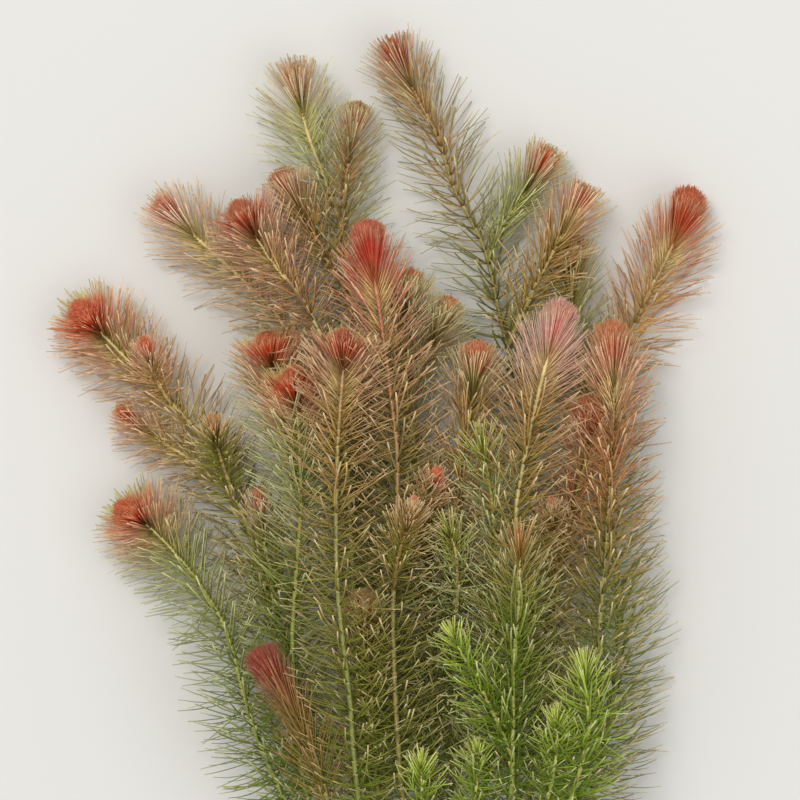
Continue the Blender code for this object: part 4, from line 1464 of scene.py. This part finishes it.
          [(34.3, -25.7, 41), (44, -8, 52), (49.5, 11.5, 56), (49, 20, 56), (48.3, 32, 55)],
          LIME_LEAF, GREEN_STEM, tilt=15, habit=CURLY),
    Shoot("front_low_green_bud", Slot.GREEN, 0.6,
          [(31, -26.2, 41.4), (38, -10, 51), (41.3, 4, 55), (41.5, 18.5, 56)],
          LIME_LEAF, GREEN_STEM, tilt=15, habit=CURLY),
    Shoot("low_left_green_bud", Slot.GREEN, 0.55,
          [(11, -28.3, 38.7), (9.5, -14, 46), (8.5, -4, 50), (8, 7, 51)],
          LIME_LEAF, GREEN_STEM, tilt=15, habit=CURLY),
    Shoot("low_middle_green_bud", Slot.GREEN, 0.55,
          [(16, -27.8, 40.8), (20, -12, 47), (22, -1, 50), (22, 10, 51)],
          LIME_LEAF, GREEN_STEM, tilt=15, habit=CURLY),
]


@dataclass(frozen=True)
class Lamp:
    """A soft square light.

    Args:
        name: The light's name.
        place: Where it hangs, in metres.
        power: Its power in watts.
        side: Its side in metres.
        colour: Its colour.
    """

    name: str
    place: Point
    power: float
    side: float
    colour: Colour


@dataclass
class Studio:
    """The pale floor, the soft lights and the camera that looks straight down. Its sizes are in metres.

    Args:
        floor_side: The floor's side.
        floor_colour: The floor's colour.
        floor_roughness: The floor's roughness.
        view_width: The width of the picture at the plant.
        aim: The point under the middle of the picture.
        camera_height: How far the camera stands above that point.
        sensor: The width of the camera's sensor, in millimetres.
        far_end: How far the camera sees.
        room_colour: The colour of the light all round.
        room_strength: The strength of the light all round.
        lamps: The lights.
    """

    floor_side: float = 6.0
    floor_colour: Colour = (0.7, 0.7, 0.685)
    floor_roughness: float = 0.9
    view_width: float = 0.2
    aim: Point = (0.0037, 0.01615, 0.026)
    camera_height: float = 2.0
    sensor: float = 36.0
    far_end: float = 20.0
    room_colour: Colour = (1.0, 0.985, 0.96)
    room_strength: float = 0.6
    lamps: tuple[Lamp, ...] = (
        Lamp("key_light", (-0.38, 0.53, 2.3), 28.0, 0.7, (1.0, 0.97, 0.92)),
        Lamp("fill_light", (0.6, -0.3, 1.1), 3.0, 0.9, (0.94, 0.97, 1.0)),
    )

    def lay_floor(self) -> None:
        """Makes the floor."""
        mesh = bpy.data.meshes.new("floor")
        half = self.floor_side / 2
        corners = [(-half, -half, 0), (half, -half, 0), (half, half, 0), (-half, half, 0)]
        mesh.from_pydata(corners, [], [(0, 1, 2, 3)])
        floor = bpy.data.objects.new("floor", mesh)
        bpy.context.scene.collection.objects.link(floor)
        nodes = Nodes("pale_floor")
        nodes.shader.inputs["Base Color"].default_value = (*self.floor_colour, 1.0)
        nodes.shader.inputs["Roughness"].default_value = self.floor_roughness
        mesh.materials.append(nodes.material)

    def hang(self, lamp: Lamp) -> None:
        """Hangs a light, so that it faces the plant.

        Args:
            lamp: The light.
        """
        light = bpy.data.lights.new(lamp.name, "AREA")
        light.energy = lamp.power
        light.size = lamp.side
        light.color = lamp.colour
        holder = bpy.data.objects.new(lamp.name, light)
        holder.location = lamp.place
        toward = Vector(self.aim) - Vector(lamp.place)
        holder.rotation_euler = toward.to_track_quat("-Z", "Y").to_euler()
        bpy.context.scene.collection.objects.link(holder)

    def light_room(self) -> None:
        """Makes the soft light all round."""
        world = bpy.data.worlds.new("soft_room")
        world.use_nodes = True
        background = world.node_tree.nodes["Background"]
        background.inputs["Color"].default_value = (*self.room_colour, 1.0)
        background.inputs["Strength"].default_value = self.room_strength
        bpy.context.scene.world = world
        bpy.context.scene.view_settings.view_transform = "Standard"

    def set_camera(self) -> None:
        """Makes the camera, straight above the plant."""
        camera = bpy.data.cameras.new("camera")
        camera.sensor_width = self.sensor
        camera.lens = self.sensor * self.camera_height / self.view_width
        camera.clip_end = self.far_end
        holder = bpy.data.objects.new("camera", camera)
        holder.location = Vector(self.aim) + Vector((0, 0, self.camera_height))
        bpy.context.scene.collection.objects.link(holder)
        bpy.context.scene.camera = holder

    def set_up(self) -> None:
        """Makes the floor, the lights and the camera."""
        self.lay_floor()
        for lamp in self.lamps:
            self.hang(lamp)
        self.light_room()
        self.set_camera()


def main() -> None:
    """Builds the stage, the creeping stems and the shoots, and reports each."""
    logging.basicConfig(level=logging.INFO, format="%(message)s")
    Studio().set_up()
    faces = 0
    pieces = [stem.build() for stem in CREEPING_STEMS]
    pieces += [shoot.grow(seed) for seed, shoot in enumerate(SHOOTS, FIRST_SEED)]
    for piece in pieces:
        triangles = sum(len(p.vertices) - 2 for p in piece.data.polygons)
        faces += triangles
        LOG.info("%s: %d triangles", piece.name, triangles)
    LOG.info("%d pieces, %d triangles", len(pieces), faces)


if __name__ == "__main__":
    main()
